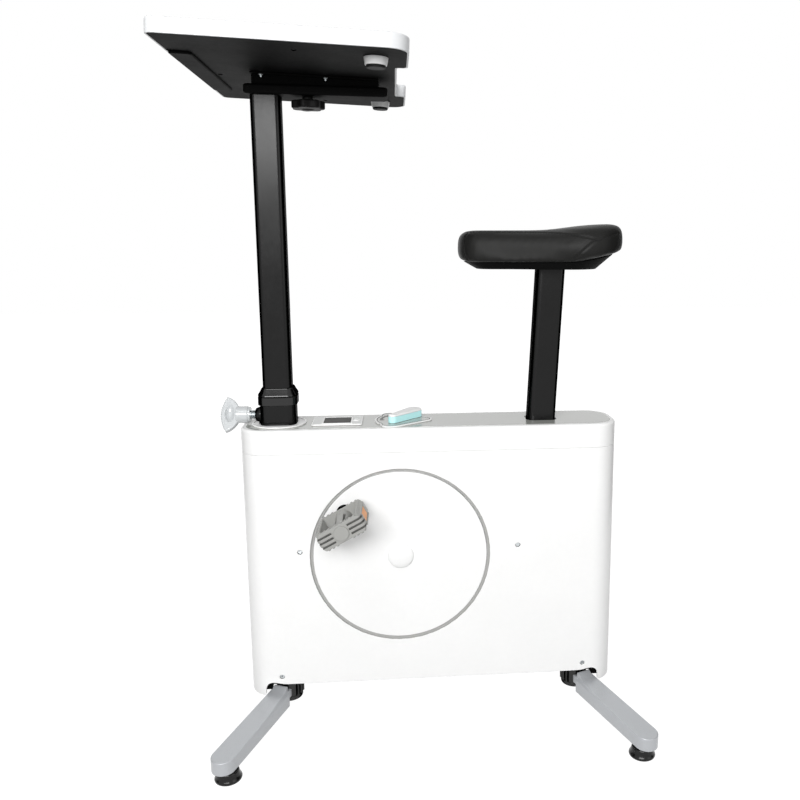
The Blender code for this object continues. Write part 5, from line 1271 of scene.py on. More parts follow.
def clamp_knob(name, body, node, place, reach, roll=0.0):
    """A threaded clamp with a ribbed wing, its axis along X, tip first."""
    values = settings("post")
    back = reach - values.clamp_neck
    half = values.clamp_thickness / 2
    place = place @ turn(roll, "X")
    wing = moulded("wing", wing_outline, -half, half, 2.2, place @ move(back) @ UPRIGHT)
    recess = []
    for side in (-1, 1):
        profile = [(0, -4.6), (6, -4.1), (10.5, -2.6), (13.4, -0.8), (14.5, 0.6), (14.5, 6), (0, 6)]
        hollow = lathe("thumb", profile,
                       place @ move(back - 15, side * half, 0) @ turn(-side * pi / 2, "X"), 48)
        recess.append(reshape(hollow, lambda x, y, z: (x * 0.58, y * 1.12, z)))
    cut(wing, *recess)
    hub = bar("hub", values.clamp_hub, (back - 4, 0, 0), (reach - 4, 0, 0), place, 56)
    ring = bar("ring", values.clamp_hub - 1.2, (reach - 5, 0, 0), (reach, 0, 0), place, 56)
    join(wing, soften(hub, 1.5, 3, 50), soften(ring, 1.0, 2, 50))
    paint(wing, "knob_gloss")
    bolt_radius, pitch = CLAMP_BOLT_RADIUS, 1.75
    profile = [(0, reach - 2), (bolt_radius, reach - 2)]
    for step in range(int(-reach / pitch)):
        start = reach + 1 + step * pitch
        profile += [(bolt_radius, start), (bolt_radius - 0.9, start + 0.9)]
    profile += [(7.2, -1), (6.4, 0), (0, 0)]
    bolt = lathe("bolt", profile, place @ turn(pi / 2, "Y"), 40)
    paint(bolt, "zinc_steel")
    for thing in (wing, bolt):
        thing.data.transform(thing.matrix_world)
        thing.matrix_world = Matrix.Identity(4)
    knob = merge(name, wing, bolt)
    return mount(knob, body, [node])


class DESKBIKE_OT_clamps(Operator):
    """Make the clamp knob of the front sleeve and the one behind the saddle post"""

    bl_idname = "desk_bike.clamps"
    bl_label = "Clamp knobs"

    def execute(self, context):
        values = settings("post")
        front = pivot("desk_post_knob_turn")
        face = POST_X - sleeve_section()[0] / 2
        clamp_knob("front_clamp_knob", "desk_post_knob", "post_knob", HOME @ move(*front),
                   face - 18.6 - front.x, radians(-32))
        rear = pivot("saddle_post_knob_turn")
        place = seat_place() @ move(0, rear.y, REAR_CLAMP_Z) @ turn(-pi / 2, "Z") @ turn(pi / 2, "X")
        reach = -(settings("housing").width - values.width) / 2 - 4
        clamp_knob("rear_clamp_knob", "saddle_post_knob", "seat_knob", place, reach)
        return {"FINISHED"}


# Crank

class DESKBIKE_OT_crank(Operator):
    """Make the crank discs and hub caps, and finish the arms, axle and spindles"""

    bl_idname = "desk_bike.crank"
    bl_label = "Crank"

    def execute(self, context):
        values = settings("crank")
        axle = pivot("crank_turn")
        half = settings("housing").width / 2
        face = half - values.recess
        for name, side in SIDES:
            pedal = pivot("pedal_" + name + "_turn")
            place = along_y(axle.x, 0, axle.z, side)
            radius, back = values.disc_radius, face - values.rim_depth
            behind = face - values.disc_thickness
            profile = [(12, face), (40, face), (radius - 0.9, face), (radius - 0.25, face - 0.25),
                       (radius, face - 0.9), (radius, back + 0.4), (radius - 0.4, back),
                       (radius - 2.1, back), (radius - 2.5, back + 0.4), (radius - 2.5, behind - 0.8),
                       (radius - 3.3, behind), (12, behind)]
            disc = lathe("crank_disc_" + name, profile, place, 128, True)
            cut(disc, bar("boss_hole", values.boss + FIT, (pedal.x, side * (face - 6), pedal.z),
                          (pedal.x, side * (face + 4), pedal.z), HOME, 48))
            mount(paint(disc, "white_plastic"), "crank", ["crank_disc_" + name], 30)

            dome = [(0, values.cap_height)]
            count = 14
            for step in range(1, count + 1):
                angle = pi / 2 * (1 - step / count)
                dome.append((values.cap_radius * cos(angle),
                             1.5 + (values.cap_height - 1.5) * sin(angle)))
            dome += [(values.cap_radius, 0.3), (values.cap_radius - 0.3, 0), (0, 0)]
            cap = lathe("crank_cap_" + name, dome, place @ move(z=face + FIT), 64)
            mount(paint(cap, "white_plastic"), "crank", ["hub_cap_" + name])
            dress("black_steel", "crank_arm_" + name)
            dress("bare_steel", "pedal_spindle_" + name)
        dress("bare_steel", "crank_axle")
        return {"FINISHED"}


class DESKBIKE_OT_pedals(Operator):
    """Mould the two pedals with their slotted end plates, toothed treads and reflectors"""

    bl_idname = "desk_bike.pedals"
    bl_label = "Pedals"

    def execute(self, context):
        for name, side in SIDES:
            self.pedal(name, side)
        return {"FINISHED"}

    def pedal(self, name, side):
        """One pedal in its own frame: X along the foot, -Y outwards."""
        values = settings("pedal")
        spot = pivot("pedal_" + name + "_turn")
        inner = settings("housing").width / 2 + 4 + FIT + 12
        place = HOME @ move(spot.x, side * inner, spot.z) @ turn(-values.tilt, "Y")
        if side > 0:
            place = place @ turn(pi, "Z")
        half, tall, width = values.length / 2, values.thickness / 2, values.width
        wall, rail, edge = values.wall, values.rail, 7
        louvre_half, louvre_step = 1.8, 8.2
        hub, waist, cap_radius, bore = 14.2, 13, 12.6, 6.8
        tooth_half, tooth_height = 1.8, 1.7
        outline = [(-half, -tall * 0.5), (-half + edge, -tall), (half - edge, -tall), (half, -tall * 0.5),
                   (half, tall * 0.5), (half - edge, tall), (-half + edge, tall), (-half, tall * 0.5)]
        body = upright_prism("pedal_" + name, outline, -width, 0, place)
        combine(body, "INTERSECT", [prism("plan", rounded(values.length, width, 8, (0, -width / 2), 6),
                                          -tall - 1, tall + 1, place)])
        soften(body, 1.0, 2, 35)
        paint(body, "pedal_plastic")
        room = half - rail
        tools = [slab("window", (-room, -width + wall, -tall - 1), (room, -wall, tall + 1), place)]
        for sign in (-1, 1):
            for row in (-1, 0, 1):
                low, high = row * louvre_step - louvre_half, row * louvre_step + louvre_half
                for start, depth in ((14.5, 5.6), (half - 4, 13)):
                    low_x, high_x = span(sign, start, half + 1)
                    tools.append(slab("louvre", (low_x, -width - 1, low), (high_x, -width + depth, high),
                                      place))
            low_x, high_x = span(sign, half - 2.6, half + 1)
            tools.append(slab("reflector_seat", (low_x, -width + 17, -8.2), (high_x, -26, 8.2), place))
        # The louvre tools carry the dark groove finish, so the louvres' faces get painted shade
        for tool in tools:
            paint(tool, "pedal_groove" if "louvre" in tool.name else "pedal_plastic")
        cut(body, *tools)
        barrel = lathe("barrel", [(0, 4), (hub, 4), (hub, 20), (waist, 22), (waist, width - 22),
                                  (hub, width - 20), (hub, width - 4), (0, width - 4)],
                       place @ turn(pi / 2, "X"), 48)
        slots = [slab("barrel_slot", (x - 1.6, -width + 24, 7), (x + 1.6, -24, 18), place)
                 for x in (-8, 8)]
        # The barrel slots get the same painted shade
        cut(paint(barrel, "pedal_plastic"), *[paint(slot, "pedal_groove") for slot in slots])
        cap = bar("end_cap", cap_radius, (0, -width - 2.5, 0), (0, -width + 4.5, 0), place, 48)
        join(body, barrel, paint(soften(cap, 0.9, 3, 50), "pedal_plastic"))
        # The bore gets the same painted shade
        cut(body, paint(bar("bore", bore, (0, -width + 7.5, 0), (0, 2, 0), place), "pedal_groove"))
        studs = []
        for face in (-1, 1):
            for x in (-half + 7.6, half - 7.6):
                for step in range(9):
                    studs.append((x, -width + 8 + step * (width - 16) / 8, face * tall))
            for x in (-31, -23, -15, 15, 23, 31):
                studs.append((x, -width + 3, face * tall))
                studs.append((x, -3, face * tall))
        for x in (-half, half):
            for step in range(8):
                for z in (-10.6, 10.6):
                    studs.append((x - 1.6 * x / half, -width + 16 + step * 7.4, z))
        teeth = [slab("tooth", (x - tooth_half, y - tooth_half, z - tooth_height),
                      (x + tooth_half, y + tooth_half, z + tooth_height), place) for x, y, z in studs]
        teeth = [paint(soften(tooth, 0.35, 1), "pedal_plastic") for tooth in teeth]
        body = merge("pedal_" + name, body, *teeth)
        mount(body, "pedal_" + name, ["pedal_body_" + name])
        lenses = []
        for sign in (-1, 1):
            low_x, high_x = span(sign, half - 2.5, half - 0.5)
            lens = slab("lens", (low_x, -width + 17.4, -7.8), (high_x, -26.4, 7.8), place)
            lenses.append(paint(soften(lens, 0.5, 2), "reflector"))
        mount(merge("pedal_reflectors_" + name, *lenses), "pedal_" + name)


class DESKBIKE_OT_drive(Operator):
    """Finish the tray, beam, belt, flywheel, brake and cable inside the housing"""

    bl_idname = "desk_bike.drive"
    bl_label = "Drive"

    def execute(self, context):
        dress("black_steel", "base_frame", "crank_housing", "flywheel_bracket")
        dress("black_plastic", "drive_pulley", "seat_post_bush")
        dress("bare_steel", "crank_bearing", "flywheel_shaft")
        dress("flywheel_iron", "flywheel")
        dress("zinc_steel", "magnet_bracket")
        dress("black_rubber", "drive_belt", "tension_cable")
        return {"FINISHED"}


# Desk

def desk_place():
    """The frame of the tilted desk, at the middle of its rear edge."""
    return HOME @ move(DESK_EDGE_X, 0, DESK_EDGE_Z) @ turn(settings("desk").tilt, "Y")


def rail_place():
    """The frame of the rail, at its bolt."""
    return HOME @ move(*pivot("desk_knob_turn")) @ turn(settings("desk").rail_slope, "Y")


def desk_outline(values, inset=0.0):
    """Plan of the desk with the notch in its rear edge."""
    half = values.width / 2 - inset
    front = -values.length + inset
    rear = -inset
    corner, sharp = values.corner - inset, values.front_corner - inset
    small = 8
    notch = values.notch_length / 2 + inset
    floor = rear - values.notch_depth
    points = arc((rear - corner, half - corner), corner, 0, pi / 2, 12)
    points += arc((front + sharp, half - sharp), sharp, pi / 2, pi, 12)
    points += arc((front + sharp, -half + sharp), sharp, pi, 3 * pi / 2, 12)
    points += arc((rear - corner, -half + corner), corner, 3 * pi / 2, 2 * pi, 12)
    points += arc((rear - small, -notch - small), small, 0, pi / 2, 6)
    points += arc((floor + small, -notch + small), small, -pi / 2, -pi, 6)
    points += arc((floor + small, notch - small), small, pi, pi / 2, 6)
    points += arc((rear - small, notch + small), small, -pi / 2, 0, 6)
    return points


class DESKBIKE_OT_desk(Operator):
    """Make the white desk top, the black tray under it, the bumpers and the small screws"""

    bl_idname = "desk_bike.desk"
    bl_label = "Desk"

    def execute(self, context):
        values = settings("desk")
        place = desk_place()
        slot_x = -334
        slot = rounded(values.slot_width, values.slot_length, 5, (slot_x, 0))
        tray = moulded("desk_tray", lambda inset: desk_outline(values, 3 + inset), 0, values.tray, 0.5,
                       place, 2)
        bulge = round_slab("bulge", 34, 320, 8, -4, 2, slot_x, place)
        round_where(bulge, lambda x, y, z: z < -3.9, 2.5, 4)
        join(tray, bulge)
        cut(tray, prism("tray_slot", slot, -1, values.tray + 1, place))
        mount(paint(tray, "tray_plastic"), "desk", ["table_underside"], 30)

        high = values.tray + FIT + values.thickness
        levels = [(0.7, 0.3), (0.2, 0.5), (0, 1.0), (0, high - 3.4), (0.25, high - 2.1), (0.9, high - 1.0),
                  (1.9, high - 0.3), (3.2, high)]
        top = loft("desk_top", [[(x, y, height) for x, y in desk_outline(values, inset)]
                                for inset, height in levels], place)
        cut(top, prism("tray_room", desk_outline(values, 2.7), -2, values.tray + FIT, place),
            prism("top_slot", slot, 2, high + 1, place))
        # The desk top takes the darker white, which is painted shade for its strongly lit edge band
        mount(paint(top, "desk_white"), "desk", ["table_top"], 30)

        for name, side in SIDES:
            spot = place @ move(-47, side * 200, -FIT)
            r, h = values.bumper_radius, values.bumper_height
            profile = [(0, 0), (r - 0.4, 0), (r, -0.5), (r - 0.2, -1.4), (r - 1.9, -h + 4.4),
                       (r - 2.4, -h + 3.9), (0, -h + 3.9)]
            body = paint(lathe("cup", profile, spot, 48), "white_plastic")
            profile = [(0, -h + 4.1), (r - 3.6, -h + 4.1), (r - 3.6, -h + 1.2), (r - 4.8, -h), (0, -h)]
            pad = paint(lathe("pad", profile, spot, 48), "black_rubber")
            bumper = merge("desk_bumper_" + name, body, pad)
            mount(bumper, "desk", ["table_bumper_" + name])
        heads = []
        for x, y in ((-347.6, -163), (-309.6, 12), (-162.6, -214), (-47.6, -140), (-153.6, 224),
                     (-347.6, 163), (-162.6, 214), (-47.6, 140)):
            spot = place @ move(x, y, 0) @ turn(pi, "X")
            head = lathe("head", [(0, 1.2), (2.2, 1.1), (3.6, 0.5), (4, -0.3), (0, -0.3)], spot, 24)
            heads.append(paint(cut(head, *cross(1.8, 0.4, 0.5, 2, spot)), "black_steel"))
        mount(merge("desk_screws", *heads), "desk")
        return {"FINISHED"}


class DESKBIKE_OT_slide(Operator):
    """Make the rail on the post, the sliding bracket and the star knob under the desk"""

    bl_idname = "desk_bike.slide"
    bl_label = "Desk slide"

    def execute(self, context):
        values = settings("desk")
        place = rail_place()
        rail_front, rail_rear, rail_half, height, plug_inset = -102, 131, 28, 16, 0.8
        rail = slab("slide_rail", (rail_front, -rail_half, 0), (rail_rear, rail_half, height), place)
        soften(rail, 4.5, 6)
        plug = slab("rail_plug", (rail_rear - 5, -rail_half + plug_inset, plug_inset),
                    (rail_rear + 2, rail_half - plug_inset, height - plug_inset), place)
        join(rail, soften(plug, 3, 4))
        cut(rail, bar("bolt_hole", 5.3, (0, 0, -2), (0, 0, height + 2), place))
        mount(paint(rail, "tray_plastic"), "desk_post", ["table_rail"])

        knob = pivot("desk_knob_turn")

        def underside(x):
            """Height of the desk's underside over the rail's frame."""
            drop = (x + knob.x - DESK_EDGE_X) * tan(values.tilt)
            return DESK_EDGE_Z - drop - (knob.z - x * tan(values.rail_slope)) - FIT

        low = height + FIT
        front, rear, half, wall, ear_height = -89, 118, 22, 3, 2.5
        slot_length, slot_width, slot_middle = 112, 11, 50
        wedge = [(front, low), (rear, low), (rear, underside(rear)), (front, underside(front))]
        bracket = upright_prism("slide_bracket", wedge, -half, half, place)
        for sign in (-1, 1):
            low_y, high_y = span(sign, half - 1, half + 14)
            ear = [(front, underside(front) - ear_height), (rear, underside(rear) - ear_height),
                   (rear, underside(rear)), (front, underside(front))]
            join(bracket, upright_prism("ear", ear, low_y, high_y, place))
        cut(bracket, slab("channel", (front - 5, -half + wall, low + wall),
                          (rear + 5, half - wall, underside(front) + 5), place))
        cut(bracket, round_slab("slot", slot_length, slot_width, 5, low - 2, low + wall + 2, slot_middle,
                                place))
        soften(bracket, 0.5, 2)
        mount(paint(bracket, "tray_plastic"), "desk", ["table_bracket"])
        bolts = []
        for along in (-273, -169):
            for sign in (-1, 1):
                spot = place @ move(along - knob.x, sign * (half + 7), underside(along - knob.x) - 2.3)
                profile = [(0, -5), (1.8, -5), (2.3, -4.4)]
                for ridge in range(2):
                    profile += [(1.9, -4 + ridge), (2.4, -3.5 + ridge)]
                profile += [(2.2, -2.2), (4.6, -2.2), (5.2, -1.7), (5.2, 0), (0, 0)]
                bolts.append(paint(lathe("ear_bolt", profile, spot, 24), "zinc_steel"))
        mount(merge("bracket_bolts", *bolts), "desk")

        def lobes(inset):
            """Plan of the star knob with its seven lobes."""
            points = []
            steps = 98
            for step in range(steps):
                angle = 2 * pi * step / steps
                radius = values.star_radius - 2 - inset + 2 * cos(7 * angle)
                points.append((radius * cos(angle), radius * sin(angle)))
            return points

        star_top = -6.3
        star = moulded("star", lobes, star_top - values.star_height, star_top, 2.6, place)
        collar = bar("collar", 9, (0, 0, -10), (0, 0, -FIT), place, 40)
        bolt = bar("bolt", 5, (0, 0, -8), (0, 0, 26), place, 32)
        nut = bar("nut", 8.5, (0, 0, low + wall + FIT), (0, 0, 24.5), place, 6)
        dish = lathe("dish", [(0, -2.2), (9, -1.6), (12, 1), (0, 1)],
                     place @ move(0, 0, star_top - values.star_height) @ turn(pi, "X"), 48)
        cut(star, dish)
        join(star, collar)
        paint(star, "black_plastic")
        metal = paint(soften(join(bolt, nut), 0.4, 2), "zinc_steel")
        mount(merge("star_knob", star, metal), "desk_knob", ["table_knob"])
        return {"FINISHED"}


# Saddle

def half_width(t, nose, rear):
    """Half width of the saddle from nose to rear, t from 0 to 1."""
    ease = min(max((t - 0.12) / 0.68, 0), 1)
    blend = ease * ease * (3 - 2 * ease)
    width = nose + (rear - nose) * blend
    if t < 0.16:
        width *= sqrt(max(1 - (1 - t / 0.16) ** 2, 0)) * 0.75 + 0.25
    if t > 0.75:
        width *= sqrt(max(1 - ((t - 0.75) / 0.25) ** 2, 0)) * 0.75 + 0.25
    return width


def hill(reach, centre, width):
    """A smooth hill of height 1 around a centre."""
    return 2.718 ** (-((reach - centre) / width) ** 2)


def smooth_step(value):
    """A soft ramp from 0 to 1."""
    value = min(max(value, 0), 1)
    return value * value * (3 - 2 * value)


class DESKBIKE_OT_saddle(Operator):
    """Mould the saddle pan, fill the cushion by a cloth simulation and sew its seams"""

    bl_idname = "desk_bike.saddle"
    bl_label = "Saddle"

    def execute(self, context):
        values = settings("saddle")
        bottom = SADDLE_PLATE_Z
        pan_ahead, pan_behind, nose_taper, rear_taper = 134.8, 124.2, 22, 29
        nose_overhang, rear_overhang = 12.2, 16
        nose, rear = SEAT_X - pan_ahead, SEAT_X + pan_behind
        low_nose, low_rear = nose + nose_taper, rear - rear_taper
        self.front, self.back = nose - nose_overhang, rear + rear_overhang
        self.floor = bottom + values.pan_height + FIT
        rings = []
        steps = 44
        for step in range(steps + 1):
            t = step / steps
            x, low_x = nose + (rear - nose) * t, low_nose + (low_rear - low_nose) * t
            y = half_width(t, values.pan_nose_half, values.pan_rear_half)
            top = self.underside(x) + 0.4
            rings.append([(low_x + (x - low_x) * part, y * side * (0.86 + 0.14 * part),
                           bottom + (top - bottom) * part)
                          for side, parts in ((-1, (0, 0.06, 0.94, 1)), (1, (1, 0.94, 0.06, 0)))
                          for part in parts])
        pan = loft("saddle_pan", rings)
        plate_x = seat_line(bottom)
        cut(pan, round_slab("recess", 90.6, 60.6, 8, bottom - 1, bottom + 4.3, plate_x))
        mount(paint(pan, "tray_plastic"), "saddle_post", ["seat_pan"])
        cushion = self.cushion(values)
        seams = self.sew(cushion)
        mount(cushion, "saddle_post", ["seat_cushion"], 80)
        mount(seams, "saddle_post")
        return {"FINISHED"}

    def underside(self, x):
        """Height of the cushion's underside, which rises towards the tail."""
        t = (x - self.front) / (self.back - self.front)
        rise, start, span_of_rise = 14, 0.66, 0.29
        return self.floor + rise * min(max((t - start) / span_of_rise, 0), 1) ** 1.25

    def seams(self):
        """Side views of the seams: round the nose, along the top, down the side and up to the tail."""
        top = [(60 + 6 * step, 877.7 - 0.9 * (step / 18) - 12 * max((step - 20) / 16.5, 0) ** 2.2)
               for step in range(37)]
        end_x, end_z = top[-1]
        down = [(end_x - 39 * part, end_z - 33 * part ** 1.25) for part in (0, 0.2, 0.4, 0.6, 0.8, 1)]
        tail = [(end_x + 42 * part, end_z + 11.5 * part) for part in (0, 0.2, 0.4, 0.6, 0.8, 1)]
        nose = [(67, 877), (61.5, 872), (58.8, 864), (58.8, 856), (60, 846), (62.5, 836), (65, 829)]
        return [top, down, tail, nose]

    def sew(self, cushion):
        """Press the seams into the cover and lay their stitches beside them."""
        tree = BVHTree.FromPolygons([vert.co for vert in cushion.data.vertices],
                                    [face.vertices[:] for face in cushion.data.polygons])
        lines = []
        sample_step, stitch_length, stitch_pitch, stitch_aside, stitch_radius = 0.8, 3, 5, 1.9, 0.42
        for path in self.seams():
            for side in (-1, 1):
                line = []
                for (x0, z0), (x1, z1) in zip(path, path[1:]):
                    count = max(int(sqrt((x1 - x0) ** 2 + (z1 - z0) ** 2) / sample_step), 1)
                    for step in range(count):
                        part = step / count
                        start = Vector((x0 + (x1 - x0) * part, side * 150, z0 + (z1 - z0) * part)) * MM
                        place, normal = tree.ray_cast(start, Vector((0, -side, 0)))[:2]
                        if place:
                            line.append((place, normal))
                if len(line) > 8:
                    lines.append(line)
        samples = [place for line in lines for place, normal in line]
        lookup = KDTree(len(samples))
        for index, place in enumerate(samples):
            lookup.insert(place, index)
        lookup.balance()
        normals = [vert.normal.copy() for vert in cushion.data.vertices]
        for vert, normal in zip(cushion.data.vertices, normals):
            gap = lookup.find(vert.co)[2] / MM
            if gap < 6:
                press = 1.5 * hill(gap, 0, 1.3) - 0.35 * hill(gap, 3.2, 1.2)
                vert.co -= normal * press * MM
        stitches = []
        for line in lines:
            for start in range(2, len(line) - 4, stitch_pitch):
                first, normal = line[start]
                second = line[start + stitch_length][0]
                along = second - first
                if along.length < 0.0006 or along.length > 0.006:
                    continue
                aside = along.cross(normal).normalized() * stitch_aside * MM
                hits = [tree.find_nearest(point + aside)[0] for point in (first, second)]
                ends = [(point + normal * 0.1 * MM) / MM for point in hits]
                stitches.append(bar("stitch", stitch_radius, ends[0], ends[1], HOME, 6))
        return paint(merge("saddle_stitches", *stitches), "thread")

    def cushion(self, values):
        """The soft top: a lofted form, filled; sew presses its seams in afterwards."""
        stations = [0, 0.012, 0.035, 0.07, 0.12, 0.2, 0.3, 0.42, 0.54, 0.66, 0.76, 0.84, 0.9, 0.945,
                    0.975, 0.992, 1]
        section = [(-0.9, -0.5), (-0.975, -0.47), (-1, -0.32), (-1, 0.05), (-0.96, 0.29), (-0.87, 0.43),
                   (-0.68, 0.49), (-0.34, 0.5)]
        section += [(-u, v) for u, v in reversed(section)]
        shape = bmesh.new()
        rings = []
        top_z, tail_rise = 879, 10.5
        for t in stations:
            x = self.front + 1.2 + (self.back - self.front - 2.4) * t
            width = half_width(min(max(t, 0.008), 0.99), values.nose_half, values.rear_half) - 2
            top = top_z + tail_rise * smooth_step((t - 0.5) / 0.4) - 1
            bottom = self.underside(x)
            end = min(1.0, 0.35 + 0.65 * sqrt(min(min(t, 1 - t) / 0.05, 1)))
            lift = (1 - end) * (12 if t < 0.5 else 5)
            tall = top - bottom - lift - 17 * (1 - end)
            low = bottom + lift
            rings.append([shape.verts.new((x * MM, u * width * MM, (low + (v + 0.5) * tall) * MM))
                          for u, v in section])
        for first, second in zip(rings, rings[1:]):
            for index in range(len(first)):
                other = (index + 1) % len(first)
                shape.faces.new((first[index], first[other], second[other], second[index]))
        shape.faces.new(rings[0])
        shape.faces.new(rings[-1])
        cushion = from_bmesh("saddle_cushion", shape)
        smooth = cushion.modifiers.new("Round", "SUBSURF")
        smooth.levels = smooth.render_levels = 2
        settle(cushion)
        self.fill(cushion, values)
        fine = cushion.modifiers.new("Fine", "SUBSURF")
        fine.levels = fine.render_levels = 1
        settle(cushion)
        paint(cushion, "saddle_vinyl")
        return cushion

    def fill(self, cushion, values):
        """Swell the form like a stuffed cover, with a limit on how far a point moves."""
        remesh = cushion.modifiers.new("Grid", "REMESH")
        remesh.mode = "VOXEL"
        remesh.voxel_size = values.voxel * MM
        settle(cushion)
        before = [vert.co.copy() for vert in cushion.data.vertices]
        group = cushion.vertex_groups.new(name="held")
        held = [index for index, place in enumerate(before) if place.z < (self.floor + 2) * MM]
        group.add(held, 1.0, "REPLACE")
        cloth = cushion.modifiers.new("Cloth", "CLOTH")
        cloth.settings.use_pressure = True
        cloth.settings.uniform_pressure_force = values.swell
        cloth.settings.effector_weights.gravity = 0
        cloth.settings.vertex_group_mass = "held"
        cloth.settings.tension_stiffness = 20
        cloth.settings.bending_stiffness = 2
        last = 20
        cloth.point_cache.frame_start = 1
        cloth.point_cache.frame_end = last
        scene = bpy.context.scene
        for number in range(1, last + 1):
            scene.frame_set(number)
        depsgraph = bpy.context.evaluated_depsgraph_get()
        swollen = bpy.data.meshes.new_from_object(cushion.evaluated_get(depsgraph))
        cushion.modifiers.clear()
        limit = values.swell_limit * MM
        for vert, start, end in zip(cushion.data.vertices, before, swollen.vertices):
            shift = end.co - start
            if shift.length > limit:
                shift *= limit / shift.length
            vert.co = start + shift
        scene.frame_set(1)
        calm = cushion.vertex_groups.new(name="calm")
        for vert in cushion.data.vertices:
            height = vert.co.z / MM - self.underside(vert.co.x / MM)
            calm.add([vert.index], smooth_step((height - 1) / 6), "REPLACE")
        smooth = cushion.modifiers.new("Calm", "SMOOTH")
        smooth.factor = 0.5
        smooth.iterations = 9
        smooth.vertex_group = "calm"
        settle(cushion)


# Legs

class DESKBIKE_OT_legs(Operator):
    """Make the four geared legs, their pins and their levelling feet"""

    bl_idname = "desk_bike.legs"
    bl_label = "Legs and feet"

    def execute(self, context):
        guard_x, guard_y, guard_z = (297, 314), (12, 40), (50, 74)
        for x_name, x_side in (("front", -1), ("rear", 1)):
            for y_name, y_side in SIDES:
                self.leg(x_name, x_side, y_name, y_side)
                low_x, high_x = span(x_side, *guard_x)
                low_y, high_y = span(y_side, *guard_y)
                guard = slab("skirt_guard_" + x_name + "_" + y_name, (low_x, low_y, guard_z[0]),
                             (high_x, high_y, guard_z[1]))
                paint(soften(guard, 1, 2), "tray_plastic")
                mount(guard, "chassis")
        return {"FINISHED"}

    def hub_outline(self, side, shift, splay):
        """Plain round under the neck, gear teeth where it meets the other leg."""
        pressure, teeth, cut_teeth, circle_radius = radians(25), 16, 8, 24
        pitch = 2 * pi / teeth
        root, tip = circle_radius - 3.3, circle_radius + 2.2
        first = pi - splay - pitch + shift

        def half_angle(radius):
            """Half the angle that a tooth takes at a radius."""
            base = circle_radius * cos(pressure)
            opened = 0
            if radius > base:
                opened = sqrt((radius / base) ** 2 - 1) - atan2(sqrt(radius ** 2 - base ** 2), base)
            return pi / 2 / teeth + tan(pressure) - pressure - opened - radians(0.5)

        points = []
        flank = (root, root + 1.6, circle_radius - 0.8, circle_radius + 0.7, tip)
        for tooth in range(cut_teeth):
            middle = first + tooth * pitch
            points += [(radius, middle - half_angle(radius)) for radius in flank]
            points += [(radius, middle + half_angle(radius)) for radius in reversed(flank)]
        start = first + (cut_teeth - 0.5) * pitch
        end = first + 2 * pi - pitch / 2
        points += [(circle_radius, start + (end - start) * step / 24) for step in range(25)]
        return [(radius * cos(angle), -side * radius * sin(angle)) for radius, angle in points]

    def leg(self, x_name, x_side, y_name, y_side):
        """One leg with its pin and foot."""
        values = settings("leg")
        name = x_name + "_" + y_name
        body = name + "_leg"
        heading = atan2(y_side * cos(values.splay), x_side * sin(values.splay))
        joint = pivot("leg_" + name + "_fold")
        pin_place = HOME @ move(joint.x, joint.y)
        place = pin_place @ turn(heading, "Z")
        inner = x_side * y_side
        reach, start, round_tip = values.reach, values.root, values.tip_radius
        near, far = values.inner_half, values.outer_half
        tip_x = reach + 2.6
        root_top, top_drop, root_bottom, bottom_drop = 56, 15.5, 27, 9.7
        outline = [(start + 5, near), (start, near - 5), (start, -far + 5), (start + 5, -far)]
        outline += arc((tip_x, -values.tip_offset), round_tip, -pi / 2, pi / 2, 28)
        if inner < 0:
            outline = [(x, -y) for x, y in reversed(outline)]
        beam = prism("leg_" + name, outline, 0, 1, place)
        length = tip_x + round_tip - start

        def slope(x, y, z):
            """The beam's two faces, which drop towards the foot."""
            t = (x - start) / length
            return x, y, (root_top - top_drop * t) if z > 0.5 else (root_bottom - bottom_drop * t)

        reshape(beam, slope)
        soften(beam, 1.5, 3, 50)
        facet = bmesh.new()
        end = start + 122
        for point in ((start - 4, near - 8, 58), (start - 4, near + 1.4, 45), (start - 4, near + 3, 61),
                      (end, near - 1.1, 48), (end, near + 0.5, 46.8), (end, near + 1.4, 49)):
            facet.verts.new(Vector((point[0], inner * point[1], point[2])) * MM)
        bmesh.ops.convex_hull(facet, input=facet.verts)
        cut(beam, from_bmesh("facet", facet, place))
        low = 37.3
        neck = slab("neck", (8, -14, low + 1), (start + 6, 14, 54), place)
        soften(neck, 2, 3)
        low_y, high_y = span(inner, 4 - far, near - 5)
        crest = [(start, 44), (start + 22, 44), (start + 22, 53), (start + 4, 62.5), (start, 62.5)]
        shoulder = upright_prism("shoulder", crest, low_y, high_y, place)
        soften(shoulder, 1.5, 3)
        shift = 0 if y_side < 0 else pi / 16
        hub = prism("hub", self.hub_outline(inner, shift, values.splay), low, values.hub_top, place)
        soften(hub, 0.5, 2, 60)
        for thing, look in ((beam, "silver_paint"), (neck, "silver_paint"), (shoulder, "silver_paint"),
                            (hub, "black_gloss")):
            paint(thing, look)
        join(beam, neck, shoulder, hub)
        cut(beam, bar("bore", values.pin_radius + FIT, (0, 0, low - 2), (0, 0, values.hub_top + 2), place),
            bar("foot_bore", values.stem + FIT, (reach, 0, 5), (reach, 0, 29), place))
        mount(beam, body, ["leg_" + name])

        r, cap = values.pin_radius, values.pin_cap
        head, washer, cap_top, cap_low, seat = 73.7, 69.7, 37, 28, values.hub_top + FIT
        profile = [(0, head), (r, head), (r, washer), (r + 5, washer), (r + 5, seat), (r, seat),
                   (r, cap_top), (cap - 0.6, cap_top), (cap, 36.4), (cap, 31), (cap - 0.7, 29.2),
                   (cap - 2.4, cap_low), (0, cap_low)]
        pin = lathe("leg_pin_" + name + "_turned", profile, pin_place, 56)
        mount(paint(pin, "black_gloss"), "chassis", ["leg_pin_" + name])

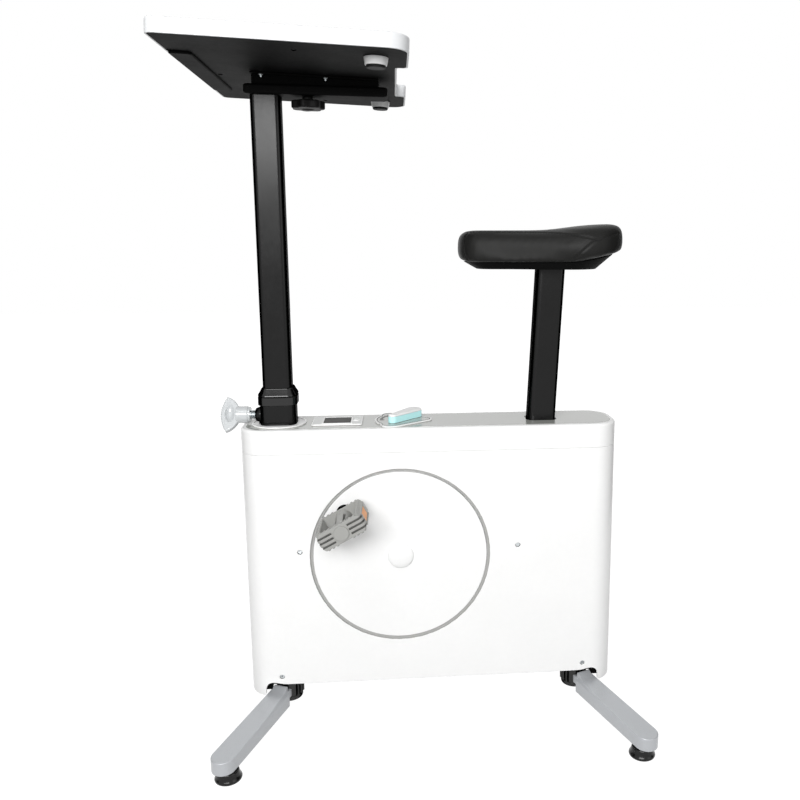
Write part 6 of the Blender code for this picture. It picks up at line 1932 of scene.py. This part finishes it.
        r, foot = values.stem, values.foot_radius
        pad_top, stem_top = 17, 27
        profile = [(0, stem_top), (r, stem_top), (r, pad_top), (foot - 6.2, pad_top),
                   (foot - 5, pad_top - 0.8), (foot - 4.4, pad_top - 2.4), (foot - 3.2, 9.5),
                   (foot - 1.2, 6), (foot - 0.2, 4.4),
                   (foot, 3), (foot - 0.5, 1.4), (foot - 1.8, 0.3), (foot - 3.6, 0), (0, 0)]
        pad = lathe("foot_" + name + "_pad", profile, place @ move(reach), 64)
        mount(paint(pad, "foot_gloss"), name + "_foot", ["foot_" + name])


OPERATORS = [DESKBIKE_OT_stage, DESKBIKE_OT_housing, DESKBIKE_OT_lid, DESKBIKE_OT_display,
             DESKBIKE_OT_dial, DESKBIKE_OT_sleeves, DESKBIKE_OT_posts, DESKBIKE_OT_clamps,
             DESKBIKE_OT_crank, DESKBIKE_OT_pedals, DESKBIKE_OT_drive, DESKBIKE_OT_desk,
             DESKBIKE_OT_slide, DESKBIKE_OT_saddle, DESKBIKE_OT_legs]


class DESKBIKE_PT_pieces(Panel):
    """Lists the pieces of the desk bike in the sidebar"""

    bl_label = "Desk Bike"
    bl_space_type = "VIEW_3D"
    bl_region_type = "UI"
    bl_category = "Desk Bike"

    def draw(self, context):
        for operator in OPERATORS:
            self.layout.operator(operator.bl_idname)
        for name in GROUPS:
            box = self.layout.box()
            box.label(text=name.title())
            group = getattr(context.scene, "desk_bike_" + name)
            for prop in group.bl_rna.properties:
                if prop.identifier not in ("rna_type", "name"):
                    box.prop(group, prop.identifier)


def register():
    """Register the settings, the operators and the panel."""
    for name, group in GROUPS.items():
        bpy.utils.register_class(group)
        setattr(bpy.types.Scene, "desk_bike_" + name, PointerProperty(type=group))
    for operator in OPERATORS:
        bpy.utils.register_class(operator)
    bpy.utils.register_class(DESKBIKE_PT_pieces)


def unregister():
    """Take the panel, the operators and the settings away again."""
    bpy.utils.unregister_class(DESKBIKE_PT_pieces)
    for operator in reversed(OPERATORS):
        bpy.utils.unregister_class(operator)
    for name, group in reversed(list(GROUPS.items())):
        delattr(bpy.types.Scene, "desk_bike_" + name)
        bpy.utils.unregister_class(group)


def main():
    """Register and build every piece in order."""
    register()
    for operator in OPERATORS:
        getattr(bpy.ops.desk_bike, operator.bl_idname.split(".")[1])()


if __name__ == "__main__":
    main()
